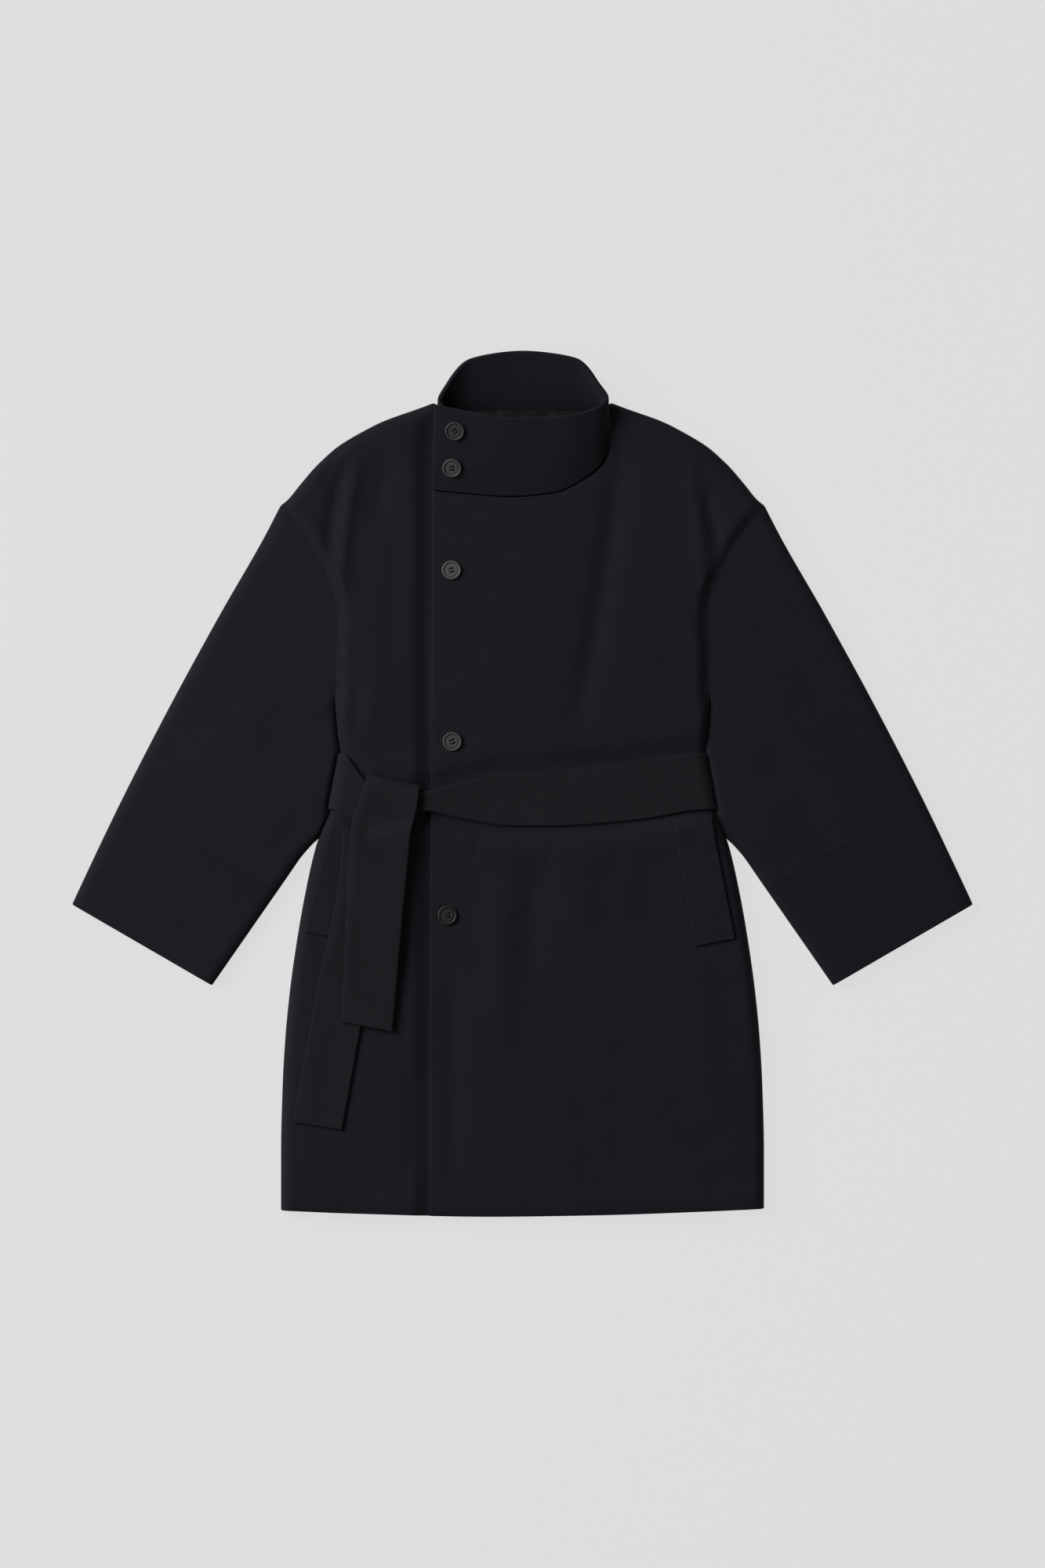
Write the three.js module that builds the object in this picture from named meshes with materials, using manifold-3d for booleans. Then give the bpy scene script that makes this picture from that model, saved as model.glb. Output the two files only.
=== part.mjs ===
// Padded wrap coat, laid flat and closed. Millimetres, +X to the wearer's left, +Y towards the
// collar, +Z up from the floor it lies on. The origin is the middle of the outline on the floor.
import * as THREE from 'three';
import Module from 'manifold-3d';

const wasm = await Module();
wasm.setup();

// Driving sizes
const GAP = 0.3; // between two sewn pieces
const SHELL_T = 4; // padded cloth of body and sleeves
const COLLAR_T = 5;
const BELT_T = 3.2;
const WELT_T = 2.6;
const LINING_T = 1;
const FOLD_Z = 9; // height of the side, shoulder and sleeve folds
const FOLD_R = 13; // how far in from a fold the cloth is still turning
const ARMHOLE_TOP = 15.5; // height of the outer cloth along the armhole seam
const ARMHOLE_REACH = 22; // the body and sleeve sink to that height over this distance
const OVERLAP_DROP = 5.4; // the under front lies this far below the over front
const BELT_CLEAR = 0.6; // between the belt and the coat
const BELT_LIFT = BELT_T + BELT_CLEAR; // the back rises this much to clear the belt under it
const BELT_DIP = 4.5; // how far the belt draws the front in
const UNDERARM_Y = 78;
const UNDERARM_BLEND = 30; // over this the side fold opens into the armhole
const BUTTON_R = 11;
const BUTTON_T = 3.4;
const SHANK_R = 0.9;
const SHANK_PAST = 0.8; // how far the thread reaches past the layer it goes through
const HOLE_R = 1.0; // the four sewing holes
const HOLE_OUT = 2.0; // from the middle of the button
const BUTTONHOLE_W = 1.2;
const BUTTONHOLE_L = 21;
const EYELET_R = 2.1;
const CUFF_PITCH = 3.1; // between two stitched rows
const CUFF_ROWS = 42;
const CUFF_DEPTH = 0.55; // how far the stitching sinks
const FINE = 0.5; // step for slopes

// Half the width of the body, side folds first and then the armhole seam
const BODY = [
  { y: -500, half: 277.0 }, { y: -423, half: 277.0 }, { y: -342, half: 275.0 },
  { y: -288, half: 271.8 }, { y: -234, half: 266.4 }, { y: -180, half: 258.8 },
  { y: -126, half: 249.3 }, { y: -72, half: 237.0 }, { y: -50, half: 229.0 },
  { y: -30, half: 221.0 }, { y: 3, half: 214.6 }, { y: 34, half: 209.5 }, { y: 56, half: 212.0 },
  { y: 100, half: 215.0 }, { y: 150, half: 215.0 }, { y: 185, half: 213.5 },
  { y: 212, half: 215.5 }, { y: 230, half: 221.0 }, { y: 255, half: 232.5 },
  { y: 288, half: 253.5 }, { y: 319.5, half: 277.3 },
];
const SHOULDER = { x: 277.3, y: 319.5 };
const NECK = { x: 102, y: 437 };
// How far the shoulder fold bows out of the straight line from the neck (0) to the armhole (1)
const SHOULDER_BOW = [
  { along: 0, out: 0 }, { along: 0.064, out: 3.1 }, { along: 0.344, out: 16.6 },
  { along: 0.549, out: 19.6 }, { along: 0.704, out: 15.5 }, { along: 0.836, out: 8.2 },
  { along: 0.965, out: 0.5 }, { along: 1, out: 0 },
];

// Height of the outer cloth along the middle of a front
const CROWN = [
  { y: -500, top: 18.5 }, { y: -470, top: 20 }, { y: -300, top: 21.5 }, { y: -120, top: 22.5 },
  { y: 0, top: 22.5 }, { y: 90, top: 24 }, { y: 200, top: 23.5 }, { y: 290, top: 21.5 },
  { y: 335, top: 20 }, { y: 440, top: 19 },
];

// The belt over the front: its middle line and half its width
const BELT_FRONT = [
  { x: -226, y: 3, half: 32 }, { x: -207, y: 3, half: 32 }, { x: -192, y: -9, half: 29 },
  { x: -178, y: -20, half: 24 }, { x: -165, y: -24, half: 17 }, { x: -140, y: -23, half: 12 },
  { x: -118, y: -20, half: 11 }, { x: -69, y: -19, half: 21 }, { x: -24, y: -17.5, half: 30 },
  { x: 30, y: -16, half: 32 }, { x: 120, y: -8, half: 33 }, { x: 207, y: 3, half: 32 },
  { x: 226, y: 3, half: 32 },
];
const BELT_BACK = { y: 3, half: 32 };
const BELT_END_LEFT = -134; // where the stretch from the wearer's left ends under the knot
const BELT_END_RIGHT = -146;

// Soft ridges (rise above 0) and troughs in the fronts, each from one end to the other
const FOLDS = [
  { x0: -184, y0: 392, x1: -208, y1: 205, bow: 5, width: 8, rise: 3.4 },
  { x0: -200, y0: 380, x1: -224, y1: 240, bow: 5, width: 9, rise: -3.6 },
  { x0: -153, y0: 385, x1: -174, y1: 285, bow: 0, width: 13, rise: -2.2 },
  { x0: -174, y0: 160, x1: -173, y1: 45, bow: 0, width: 15, rise: 2.0 },
  { x0: -206, y0: 398, x1: -232, y1: 338, bow: 0, width: 6, rise: -1.4 },
  { x0: 118, y0: 425, x1: 54, y1: 28, bow: -6, width: 15, rise: -4.2 },
  { x0: 186, y0: 395, x1: 208, y1: 205, bow: -5, width: 8, rise: 2.2 },
  { x0: 203, y0: 350, x1: 224, y1: 240, bow: -5, width: 8, rise: -3.0 },
  { x0: -18, y0: -50, x1: -30, y1: -340, bow: 0, width: 22, rise: 2.6 },
  { x0: 18, y0: -55, x1: 4, y1: -250, bow: 0, width: 17, rise: -2.2 },
  { x0: 70, y0: -55, x1: 62, y1: -190, bow: 0, width: 22, rise: 1.8 },
  { x0: 142, y0: -75, x1: 150, y1: -180, bow: 0, width: 20, rise: -2.0 },
  { x0: -84, y0: -180, x1: -78, y1: -485, bow: 0, width: 14, rise: -2.4 },
  { x0: -124, y0: -300, x1: -128, y1: -480, bow: 0, width: 13, rise: -2.2 },
  { x0: 53, y0: 34, x1: 57, y1: 8, bow: 0, width: 6, rise: -2.0 },
  { x0: 72, y0: -36, x1: 70, y1: -66, bow: 0, width: 6, rise: -2.0 },
];

// Edges of the panels across the top, from one side of the panel (at 0) to the other (at 1)
const TOP_OVER = [
  { at: 0, x: -103, y: 335.5 }, { at: 0.15, x: -56, y: 331 }, { at: 0.285, x: -13, y: 328.3 },
  { at: 0.44, x: 36.5, y: 332.8 }, { at: 0.555, x: 77, y: 352 }, { at: 0.605, x: 95, y: 369.5 },
  { at: 0.635, x: 101.3, y: 392 }, { at: 0.665, x: NECK.x, y: NECK.y },
];
const TOP_UNDER = [
  { at: 0.415, x: -NECK.x, y: NECK.y }, { at: 0.44, x: -101.3, y: 392 },
  { at: 0.46, x: -95, y: 369.5 }, { at: 0.53, x: -77, y: 352 }, { at: 0.687, x: -36.5, y: 332.8 },
  { at: 0.846, x: 5, y: 328.3 }, { at: 1, x: 45, y: 330 },
];
const TOP_BACK = [
  { at: 0.316, x: -NECK.x, y: NECK.y }, { at: 0.36, x: -80, y: 430.6 }, { at: 0.43, x: -40, y: 429.5 },
  { at: 0.5, x: 0, y: 429.5 }, { at: 0.57, x: 40, y: 429.5 }, { at: 0.64, x: 80, y: 430.6 },
  { at: 0.684, x: NECK.x, y: NECK.y },
];
const HEM = [
  { x: -277, y: -489 }, { x: -196, y: -492.3 }, { x: -38, y: -496 }, { x: 80, y: -494.5 },
  { x: 200, y: -490.5 }, { x: 277, y: -487 },
];
const OVER_EDGE = [{ y: -500, x: -106.6 }, { y: 0, x: -105 }, { y: 340, x: -103 }];

// The sleeve, reach measured from the cuff along its outer fold
const SLEEVE_LENGTH = 515;
const SLEEVE_OUTER = [
  { reach: 0, x: 516.5, y: -138 }, { reach: 13, x: 511, y: -126 }, { reach: 132, x: 459.5, y: -18 },
  { reach: 254, x: 404, y: 90 }, { reach: 377, x: 345, y: 198 }, { reach: 470, x: 298.6, y: 279 },
  { reach: 515, x: 277.6, y: 319.5 },
];
const SLEEVE_INNER = [
  { reach: 0, x: 356, y: -231 }, { reach: 140, x: 276, y: -116 }, { reach: 250, x: 253, y: -83 },
  { reach: 515, x: 236, y: -58 },
];
// The side of the sleeve that lies along the body and its belt
const SLEEVE_SIDE = [
  { y: -58, x: 236 }, { y: -30, x: 226.3 }, { y: 34, x: 214.8 }, { y: 56, x: 214.6 },
  { y: 100, x: 215.3 },
];
const SLEEVE_CROWN = [
  { reach: 0, top: 15.5 }, { reach: 20, top: 16.5 }, { reach: 140, top: 17.5 },
  { reach: 300, top: 18 }, { reach: 515, top: 17 },
];

// The collar's middle surface: seam is where it is sewn on, rim its upper edge
const COLLAR = [
  { seamX: -103.2, seamY: 337.6, seamZ: 17.8, rimX: -101, rimY: 433.5, rimZ: 42 },
  { seamX: -56, seamY: 332.8, seamZ: 18, rimX: -57, rimY: 425, rimZ: 44.5 },
  { seamX: -13, seamY: 330.2, seamZ: 18, rimX: -13, rimY: 418.5, rimZ: 45.5 },
  { seamX: 36, seamY: 334.8, seamZ: 18, rimX: 40, rimY: 420.5, rimZ: 45.5 },
  { seamX: 74.3, seamY: 353.8, seamZ: 17.5, rimX: 72, rimY: 426, rimZ: 43.5 },
  { seamX: 91.2, seamY: 371.2, seamZ: 16, rimX: 89, rimY: 433.5, rimZ: 40 },
  { seamX: 97.8, seamY: 402, seamZ: 12.5, rimX: 96, rimY: 443.5, rimZ: 35 },
  { seamX: 91, seamY: 431.2, seamZ: 9, rimX: 86, rimY: 459, rimZ: 31 },
  { seamX: 62, seamY: 433, seamZ: 3.6, rimX: 62, rimY: 487, rimZ: 28 },
  { seamX: 0, seamY: 431.6, seamZ: 3.1, rimX: 0, rimY: 495.7, rimZ: 27 },
  { seamX: -62, seamY: 433, seamZ: 3.6, rimX: -61, rimY: 486, rimZ: 28 },
  { seamX: -91, seamY: 430.5, seamZ: 8.6, rimX: -85.5, rimY: 458, rimZ: 29.5 },
  { seamX: -97, seamY: 402, seamZ: 8.5, rimX: -94.5, rimY: 441, rimZ: 30 },
  { seamX: -90.5, seamY: 371, seamZ: 11, rimX: -86, rimY: 429, rimZ: 33 },
  { seamX: -56, seamY: 342.5, seamZ: 12, rimX: -54, rimY: 419, rimZ: 36.5 },
  { seamX: 0, seamY: 330.2, seamZ: 11.6, rimX: 0, rimY: 413, rimZ: 37.3 },
  { seamX: 45, seamY: 332, seamZ: 11.6, rimX: 45, rimY: 414, rimZ: 37.3 },
];

// Belt tails: both edges and the height of the underside above the coat, from the knot down
const TAIL_OVER = [
  { leftX: -178.6, leftY: 9, rightX: -118, rightY: -3.5, lift: 3 },
  { leftX: -178.8, leftY: 8.6, rightX: -118, rightY: -3.9, lift: 8 },
  { leftX: -179, leftY: 5, rightX: -118.2, rightY: -7.5, lift: 12 },
  { leftX: -181, leftY: -4, rightX: -119, rightY: -17, lift: 13.6 },
  { leftX: -187.5, leftY: -22, rightX: -122, rightY: -34, lift: 12.6 },
  { leftX: -195, leftY: -45, rightX: -127, rightY: -54, lift: 11 },
  { leftX: -198.5, leftY: -80, rightX: -131, rightY: -90, lift: 9.2 },
  { leftX: -201, leftY: -130, rightX: -136, rightY: -141, lift: 8.8 },
  { leftX: -202.5, leftY: -180, rightX: -140.5, rightY: -191, lift: 8.4 },
  { leftX: -205, leftY: -230, rightX: -145, rightY: -241, lift: 5.4 },
  { leftX: -207.5, leftY: -272, rightX: -149, rightY: -283.5, lift: 4.4 },
];
const TAIL_UNDER = [
  { leftX: -205.5, leftY: -49, rightX: -151, rightY: -54, lift: 5.2 },
  { leftX: -207, leftY: -80, rightX: -153, rightY: -83, lift: 4.9 },
  { leftX: -212, leftY: -122, rightX: -157, rightY: -130, lift: 4.5 },
  { leftX: -222.5, leftY: -176, rightX: -166, rightY: -187, lift: 4.2 },
  { leftX: -233, leftY: -225, rightX: -176.5, rightY: -235, lift: 1.2 },
  { leftX: -245, leftY: -290, rightX: -189, rightY: -300, lift: 0.6 },
  { leftX: -263, leftY: -387, rightX: -206.5, rightY: -396, lift: 0.6 },
];

// Pocket welts, from the belt down: opening edge and inner edge
const WELT = [
  { outX: 215, outY: -34, inX: 172.5, inY: -40 }, { outX: 221, outY: -64, inX: 177.5, inY: -71 },
  { outX: 232, outY: -120, inX: 187, inY: -128 }, { outX: 243.5, outY: -177, inX: 197.5, inY: -186 },
];
const WELT_CLEAR = 1.9; // more room where the front bends in under the belt
const WELT_LIFT = 0.3; // room for the flat faces of the front, all along
const WELT_ROWS = [0, 0.03, 0.07, 0.12, 0.2, 0.36, 0.55, 0.75, 1];
const WELT_COLUMNS = [0, 0.3, 0.6, 0.8, 0.9, 1];
const WELT_RIGHT_SHIFT = { x: 6, y: 8, start: 0.2 }; // the wearer's right one sits further out

const BUTTONS = [
  { x: -77, y: 404, on: 'collar' }, { x: -80.5, y: 362.7, on: 'collar' },
  { x: -81.5, y: 244.8, on: 'front' }, { x: -80.5, y: 48.6, on: 'front' },
  { x: -86, y: -150.3, on: 'front' },
];
const BUTTON_SHAPE = [
  { r: 0, z: 2.0 }, { r: 6.8, z: 2.0 }, { r: 8.3, z: BUTTON_T }, { r: 10.4, z: 2.8 },
  { r: BUTTON_R, z: 1.6 }, { r: 9, z: 0 },
];

// Where rows and columns of cloth are measured
const BODY_LEVELS = [
  -482, -430, -370, -310, -250, -195, -145, -105, -75, -58, -47, -38, -32, -29, 3, 35, 38, 44, 53,
  65, 78, 92, 108, 150, 185, 208, 228, 250, 275,
];
const BACK_LEVELS = [
  -340, -200, -90, -50, -29, 3, 35, 55, 78, 92, 108, 150, 185, 208, 228, 250, 275,
];
const TURN_LEVELS = [
  -400, -240, -105, -75, -56, -42, -32, 38, 48, 62, 78, 108, 150, 185, 208, 228, 250, 275,
];
const FOLD_STEPS = [0.38, 0.71, 0.924]; // shares of a quarter turn, as sines
const SHOULDER_TURN = 1.15 * FOLD_R; // the same turn measured along Y
const OVER_COLUMNS = [0.05, 0.1, 0.15, 0.215, 0.285, 0.36, 0.44, 0.5, 0.555, 0.605, 0.635, 0.665,
  0.71, 0.765, 0.82, 0.87, 0.915, 0.955];
const OVER_INNER = [0.1, 0.15, 0.285, 0.36, 0.44, 0.5, 0.555, 0.605, 0.635, 0.665, 0.765, 0.87];
const UNDER_COLUMNS = [0.045, 0.085, 0.13, 0.18, 0.235, 0.295, 0.355, 0.415, 0.44, 0.46, 0.53,
  0.6, 0.687, 0.846];
const UNDER_INNER = [0.13, 0.295, 0.415, 0.44, 0.46, 0.53, 0.687, 0.846];
const BACK_COLUMNS = [
  0.08, 0.14, 0.2, 0.26, 0.316, 0.36, 0.43, 0.57, 0.64, 0.684, 0.74, 0.8, 0.86, 0.92,
];
const PLAIN_CUFF = [0, 8, 65, 131];
const SLEEVE_REACHES = [180, 235, 290, 345, 395, 430, 460, 490];
const PLAIN_REACHES = [235, 345, 430, 490];

const mix = (a, b, k) => a + (b - a) * k;
const clamp = (v) => Math.min(1, Math.max(0, v));
const ease = (v) => clamp(v) ** 2 * (3 - 2 * clamp(v));
const bell = (v) => Math.exp(-v * v);
const arc = (v) => Math.sqrt(1 - (1 - clamp(v)) ** 2); // 0 at a fold, 1 where the turn ends

// Reads a smooth curve through one column of a table, against another
function reader(table, key, column) {
  const rows = [...table].sort((p, q) => p[key] - q[key]);
  const slopes = rows.slice(1).map((row, i) => (row[column] - rows[i][column]) / (row[key] - rows[i][key]));
  const tangents = rows.map((row, i) => {
    if (i === 0) return slopes[0];
    if (i === rows.length - 1) return slopes[i - 1];
    const product = slopes[i - 1] * slopes[i];
    return product <= 0 ? 0 : (2 * product) / (slopes[i - 1] + slopes[i]);
  });
  return (want) => {
    let i = 0;
    while (i < rows.length - 2 && want > rows[i + 1][key]) i += 1;
    const span = rows[i + 1][key] - rows[i][key];
    const k = clamp((want - rows[i][key]) / span);
    const rest = 1 - k;
    return rows[i][column] * (1 + 2 * k) * rest ** 2 + rows[i + 1][column] * (1 + 2 * rest) * k ** 2
      + span * (tangents[i] * k * rest ** 2 - tangents[i + 1] * rest * k ** 2);
  };
}

const bodyHalf = reader(BODY, 'y', 'half');
const crown = reader(CROWN, 'y', 'top');
const beltMiddle = reader(BELT_FRONT, 'x', 'y');
const beltHalf = reader(BELT_FRONT, 'x', 'half');
const hemY = reader(HEM, 'x', 'y');
const overEdge = reader(OVER_EDGE, 'y', 'x');
const sleeveTop = reader(SLEEVE_CROWN, 'reach', 'top');
const sleeveSide = reader(SLEEVE_SIDE, 'y', 'x');

// 1 along the armhole seam, 0 along the side fold under it
const seamShare = (y) => ease((y - UNDERARM_Y) / UNDERARM_BLEND);
const shoulderLength = Math.hypot(SHOULDER.x - NECK.x, SHOULDER.y - NECK.y);
const SHOULDER_OUT = {
  x: (NECK.y - SHOULDER.y) / shoulderLength,
  y: (SHOULDER.x - NECK.x) / shoulderLength,
};
const shoulderBow = reader(SHOULDER_BOW, 'along', 'out');
const sideGap = (x, y) => Math.max(0, bodyHalf(y) - Math.abs(x));

// Where a point is along the shoulder, from 0 at the neck to 1 at the armhole
const shoulderAlong = (x, y) =>
  clamp(((Math.abs(x) - NECK.x) * SHOULDER_OUT.y - (y - NECK.y) * SHOULDER_OUT.x) / shoulderLength);

function shoulderGap(x, y) {
  const straight = (NECK.x - Math.abs(x)) * SHOULDER_OUT.x + (NECK.y - y) * SHOULDER_OUT.y;
  return Math.max(0, straight + shoulderBow(shoulderAlong(x, y)));
}

// Which way is out of the shoulder fold, across its bow
function shoulderOut(x, y) {
  const along = shoulderAlong(x, y);
  const slope = (shoulderBow(along + 0.01) - shoulderBow(along - 0.01)) / (0.02 * shoulderLength);
  return new THREE.Vector2(
    SHOULDER_OUT.x - slope * SHOULDER_OUT.y,
    SHOULDER_OUT.y + slope * SHOULDER_OUT.x,
  ).normalize();
}

function foldRise(x, y) {
  return FOLDS.reduce((sum, fold) => {
    const dx = fold.x1 - fold.x0;
    const dy = fold.y1 - fold.y0;
    const length = Math.hypot(dx, dy);
    const along = ((x - fold.x0) * dx + (y - fold.y0) * dy) / length ** 2;
    if (along <= 0 || along >= 1) return sum;
    const across = ((x - fold.x0) * dy - (y - fold.y0) * dx) / length - fold.bow * Math.sin(Math.PI * along);
    const taper = ease(along / 0.3) * ease((1 - along) / 0.3);
    return sum + fold.rise * taper * bell(across / fold.width);
  }, 0);
}

// 1 under the belt, 0 where the front is free of it
const belted = (x, y) => 1 - ease((Math.abs(y - beltMiddle(x)) - beltHalf(x) - 3.5) / 19);

// How far the belt draws the front in, with the cloth rolled out above and below it
function beltDraw(x, y) {
  const off = Math.abs(y - beltMiddle(x)) - beltHalf(x);
  return BELT_DIP * belted(x, y) - 1.2 * bell((off - 30) / 14);
}

// Outer height of the fronts, as if the over front ran right across
function coatTop(x, y, draw = beltDraw(x, y)) {
  const flat = crown(y) - draw + foldRise(x, y) * (1 - belted(x, y));
  const turned = arc(shoulderGap(x, y) / FOLD_R);
  const open = FOLD_Z + (flat - FOLD_Z) * turned;
  const seam = FOLD_Z + (ARMHOLE_TOP - FOLD_Z) * turned;
  const atArmhole = mix(seam, open, ease(sideGap(x, y) / ARMHOLE_REACH));
  const atFold = FOLD_Z + (open - FOLD_Z) * arc(sideGap(x, y) / FOLD_R);
  return mix(atFold, atArmhole, seamShare(y)) + GAP / 2;
}

// What the belt lies on, level with the front under its middle
const beltSeat = (x, y) => coatTop(x, y, BELT_DIP);

// The under front sinks below the over front, but not where both turn into the shoulder
const overlapped = (x, y) => ease((x + 134) / 25) * ease(shoulderGap(x, y) / 32);
const underTop = (x, y) =>
  coatTop(x, y) - overlapped(x, y) * (OVERLAP_DROP + Math.max(0, foldRise(x, y)));

// Outer height of the back: flat on the floor, lifted over the belt, turned up at the folds
function coatBottom(x, y) {
  const off = Math.abs(y - BELT_BACK.y) - BELT_BACK.half;
  const base = BELT_LIFT * (1 - ease((off - 1) / 19));
  const fold = FOLD_Z - GAP / 2;
  const turned = arc(shoulderGap(x, y) / FOLD_R);
  const open = fold - (fold - base) * turned;
  const atFold = fold - (fold - open) * arc(sideGap(x, y) / FOLD_R);
  return mix(atFold, open, seamShare(y));
}

// Outward direction of the top cloth: up on the flat, sideways at a fold
function outward(x, y) {
  const share = seamShare(y);
  const side = Math.sign(x);
  const turn = Math.max(0, 1 - sideGap(x, y) / FOLD_R) * (1 - share);
  const shoulder = Math.max(0, 1 - shoulderGap(x, y) / FOLD_R);
  const up = arc(shoulderGap(x, y) / FOLD_R) * mix(arc(sideGap(x, y) / FOLD_R), 1, share);
  const past = shoulderOut(x, y);
  const out = new THREE.Vector3(side * (turn + shoulder * past.x), shoulder * past.y, up);
  return out.length() > 1 ? out.normalize() : out;
}

const onTop = (x, y, off, height = coatTop) =>
  new THREE.Vector3(x, y, height(x, y)).addScaledVector(outward(x, y), off);

function onBottom(x, y, off) {
  const out = outward(x, y).multiplyScalar(off);
  return new THREE.Vector3(x + out.x, y + out.y, coatBottom(x, y) - out.z);
}

// Joins two edges of a wall that are measured at different places
function zip(first, second, faces) {
  let i = 0;
  let j = 0;
  while (i < first.length - 1 || j < second.length - 1) {
    const nextFirst = i < first.length - 1 ? first[i + 1].at : Infinity;
    const nextSecond = j < second.length - 1 ? second[j + 1].at : Infinity;
    if (nextFirst <= nextSecond) {
      faces.push([first[i].id, first[i + 1].id, second[j].id]);
      i += 1;
    } else {
      faces.push([first[i].id, second[j + 1].id, second[j].id]);
      j += 1;
    }
  }
}

// A closed wall between an outer and an inner side, each one or more grids over the same panel
function wall(outerGrids, innerGrids) {
  const points = [];
  const faces = [];
  const last = (list) => list[list.length - 1];
  const turned = (edge) => edge.map(({ id, at }) => ({ id, at: -at })).reverse();
  const layRow = (grid, row) => grid.columns.map((at) => ({ id: points.push(grid.point(row, at)) - 1, at }));
  const layRows = (grids) => grids.flatMap((grid) => grid.rows.map((at) => ({ at, row: layRow(grid, at) })));
  const edge = (rows, pick) => rows.map(({ at, row }) => ({ id: pick(row).id, at }));
  const outer = layRows(outerGrids);
  const inner = layRows(innerGrids);
  outer.slice(1).forEach(({ row }, i) => zip(outer[i].row, row, faces));
  inner.slice(1).forEach(({ row }, i) => zip(turned(inner[i].row), turned(row), faces));
  zip(turned(outer[0].row), turned(inner[0].row), faces);
  zip(last(outer).row, last(inner).row, faces);
  zip(edge(outer, (row) => row[0]), edge(inner, (row) => row[0]), faces);
  zip(turned(edge(outer, last)), turned(edge(inner, last)), faces);
  return solid(points, faces);
}

// A mesh with shared corners, turned right side out
function solid(points, faces) {
  const volume = faces.reduce((sum, [a, b, c]) => {
    const cross = new THREE.Vector3().crossVectors(points[b], points[c]);
    return sum + points[a].dot(cross);
  }, 0);
  const index = faces.flatMap(([a, b, c]) => (volume < 0 ? [a, c, b] : [a, b, c]));
  const geometry = new THREE.BufferGeometry();
  geometry.setAttribute('position', new THREE.Float32BufferAttribute(points.flatMap((p) => p.toArray()), 3));
  geometry.setIndex(index);
  return geometry;
}

// A wall of even thickness about a middle surface given at rows and columns from 0 to 1
function wallAbout(rows, columns, middle, thickness) {
  const facing = (row, column) => {
    const step = 0.002;
    const [r0, r1] = [Math.max(0, row - step), Math.min(1, row + step)];
    const [c0, c1] = [Math.max(0, column - step), Math.min(1, column + step)];
    const down = middle(r1, column).sub(middle(r0, column));
    const across = middle(row, c1).sub(middle(row, c0));
    return across.cross(down).normalize();
  };
  const shifted = (off) => (row, column) =>
    middle(row, column).addScaledVector(facing(row, column), off);
  return wall(
    [{ rows, columns, point: shifted(thickness / 2) }],
    [{ rows, columns, point: shifted(-thickness / 2) }],
  );
}

const evenly = (count) => Array.from({ length: count + 1 }, (_, i) => i / count);

// Moves rows of a front up or down so that they keep to the edges of the belt
function followBelt(x, y) {
  const [lower, upper] = [BELT_BACK.y - BELT_BACK.half, BELT_BACK.y + BELT_BACK.half];
  const moveUpper = beltMiddle(x) + beltHalf(x) - upper;
  const moveLower = beltMiddle(x) - beltHalf(x) - lower;
  if (y > upper) return y + moveUpper * (1 - ease((y - upper) / 90));
  if (y < lower) return y + moveLower * (1 - ease((lower - y) / 90));
  return y + mix(moveLower, moveUpper, (y - lower) / (upper - lower));
}

// Body panels. A panel is given by its top edge and by how its two long edges run. Spread is the
// power by which a side's curve dies away across the panel, so that no column leans over another.
function panelPlan(topEdge, leftEdge, rightEdge, follow, spread) {
  const corners = { left: leftEdge.top, right: rightEdge.top };
  const hemLeft = leftEdge.x(leftEdge.hem);
  const hemRight = rightEdge.x(rightEdge.hem);
  const between = (left, right, share) =>
    mix(leftEdge.core, rightEdge.core, share) +
    (left - leftEdge.core) * (1 - share) ** spread +
    (right - rightEdge.core) * share ** spread;
  return (level, share) => {
    const leftY = mix(leftEdge.hem, corners.left, level);
    const rightY = mix(rightEdge.hem, corners.right, level);
    const hemX = between(hemLeft, hemRight, share);
    const straightY = mix(hemY(hemX), mix(corners.left, corners.right, share), level);
    const top = topEdge(share);
    const straightTopX = between(leftEdge.x(corners.left), rightEdge.x(corners.right), share);
    const lift = ease((level - 0.7) / 0.3) * 0.5 + clamp((level - 0.7) / 0.3) * 0.5;
    const sidesX = between(leftEdge.x(leftY), rightEdge.x(rightY), share);
    const x = sidesX + lift * (top.x - straightTopX);
    const y = straightY + lift * (top.y - mix(corners.left, corners.right, share));
    return { x, y: follow(x, y) };
  };
}

const neckEdge = (table) => ({
  first: Math.min(...table.map((row) => row.at)),
  last: Math.max(...table.map((row) => row.at)),
  x: reader(table, 'at', 'x'),
  y: reader(table, 'at', 'y'),
});

// A point of the shoulder fold, from 0 at the neck to 1 at the armhole
function shoulderPoint(along, side) {
  const out = shoulderBow(along);
  return {
    x: side * (mix(NECK.x, SHOULDER.x, along) + out * SHOULDER_OUT.x),
    y: mix(NECK.y, SHOULDER.y, along) + out * SHOULDER_OUT.y,
  };
}

// Top edge of a panel: neck where the table runs, shoulders on either side of it
function topEdge(table) {
  const neck = neckEdge(table);
  return (share) => {
    if (share < neck.first) return shoulderPoint(1 - share / neck.first, -1);
    if (share > neck.last) return shoulderPoint((share - neck.last) / (1 - neck.last), 1);
    return { x: neck.x(share), y: neck.y(share) };
  };
}

const WAIST_HALF = 215;
const FRONT_SPREAD = 8;
const BACK_SPREAD = 1;
const SIDE_LEFT = { x: (y) => -bodyHalf(y), hem: hemY(-277), top: SHOULDER.y, core: -WAIST_HALF };
const SIDE_RIGHT = { x: bodyHalf, hem: hemY(277), top: SHOULDER.y, core: WAIST_HALF };
const EDGE_OVER = { x: overEdge, hem: hemY(-106.6), top: 335.5, core: -105 };
const EDGE_UNDER = { x: () => 45, hem: hemY(45), top: 330, core: 45 };

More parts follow.
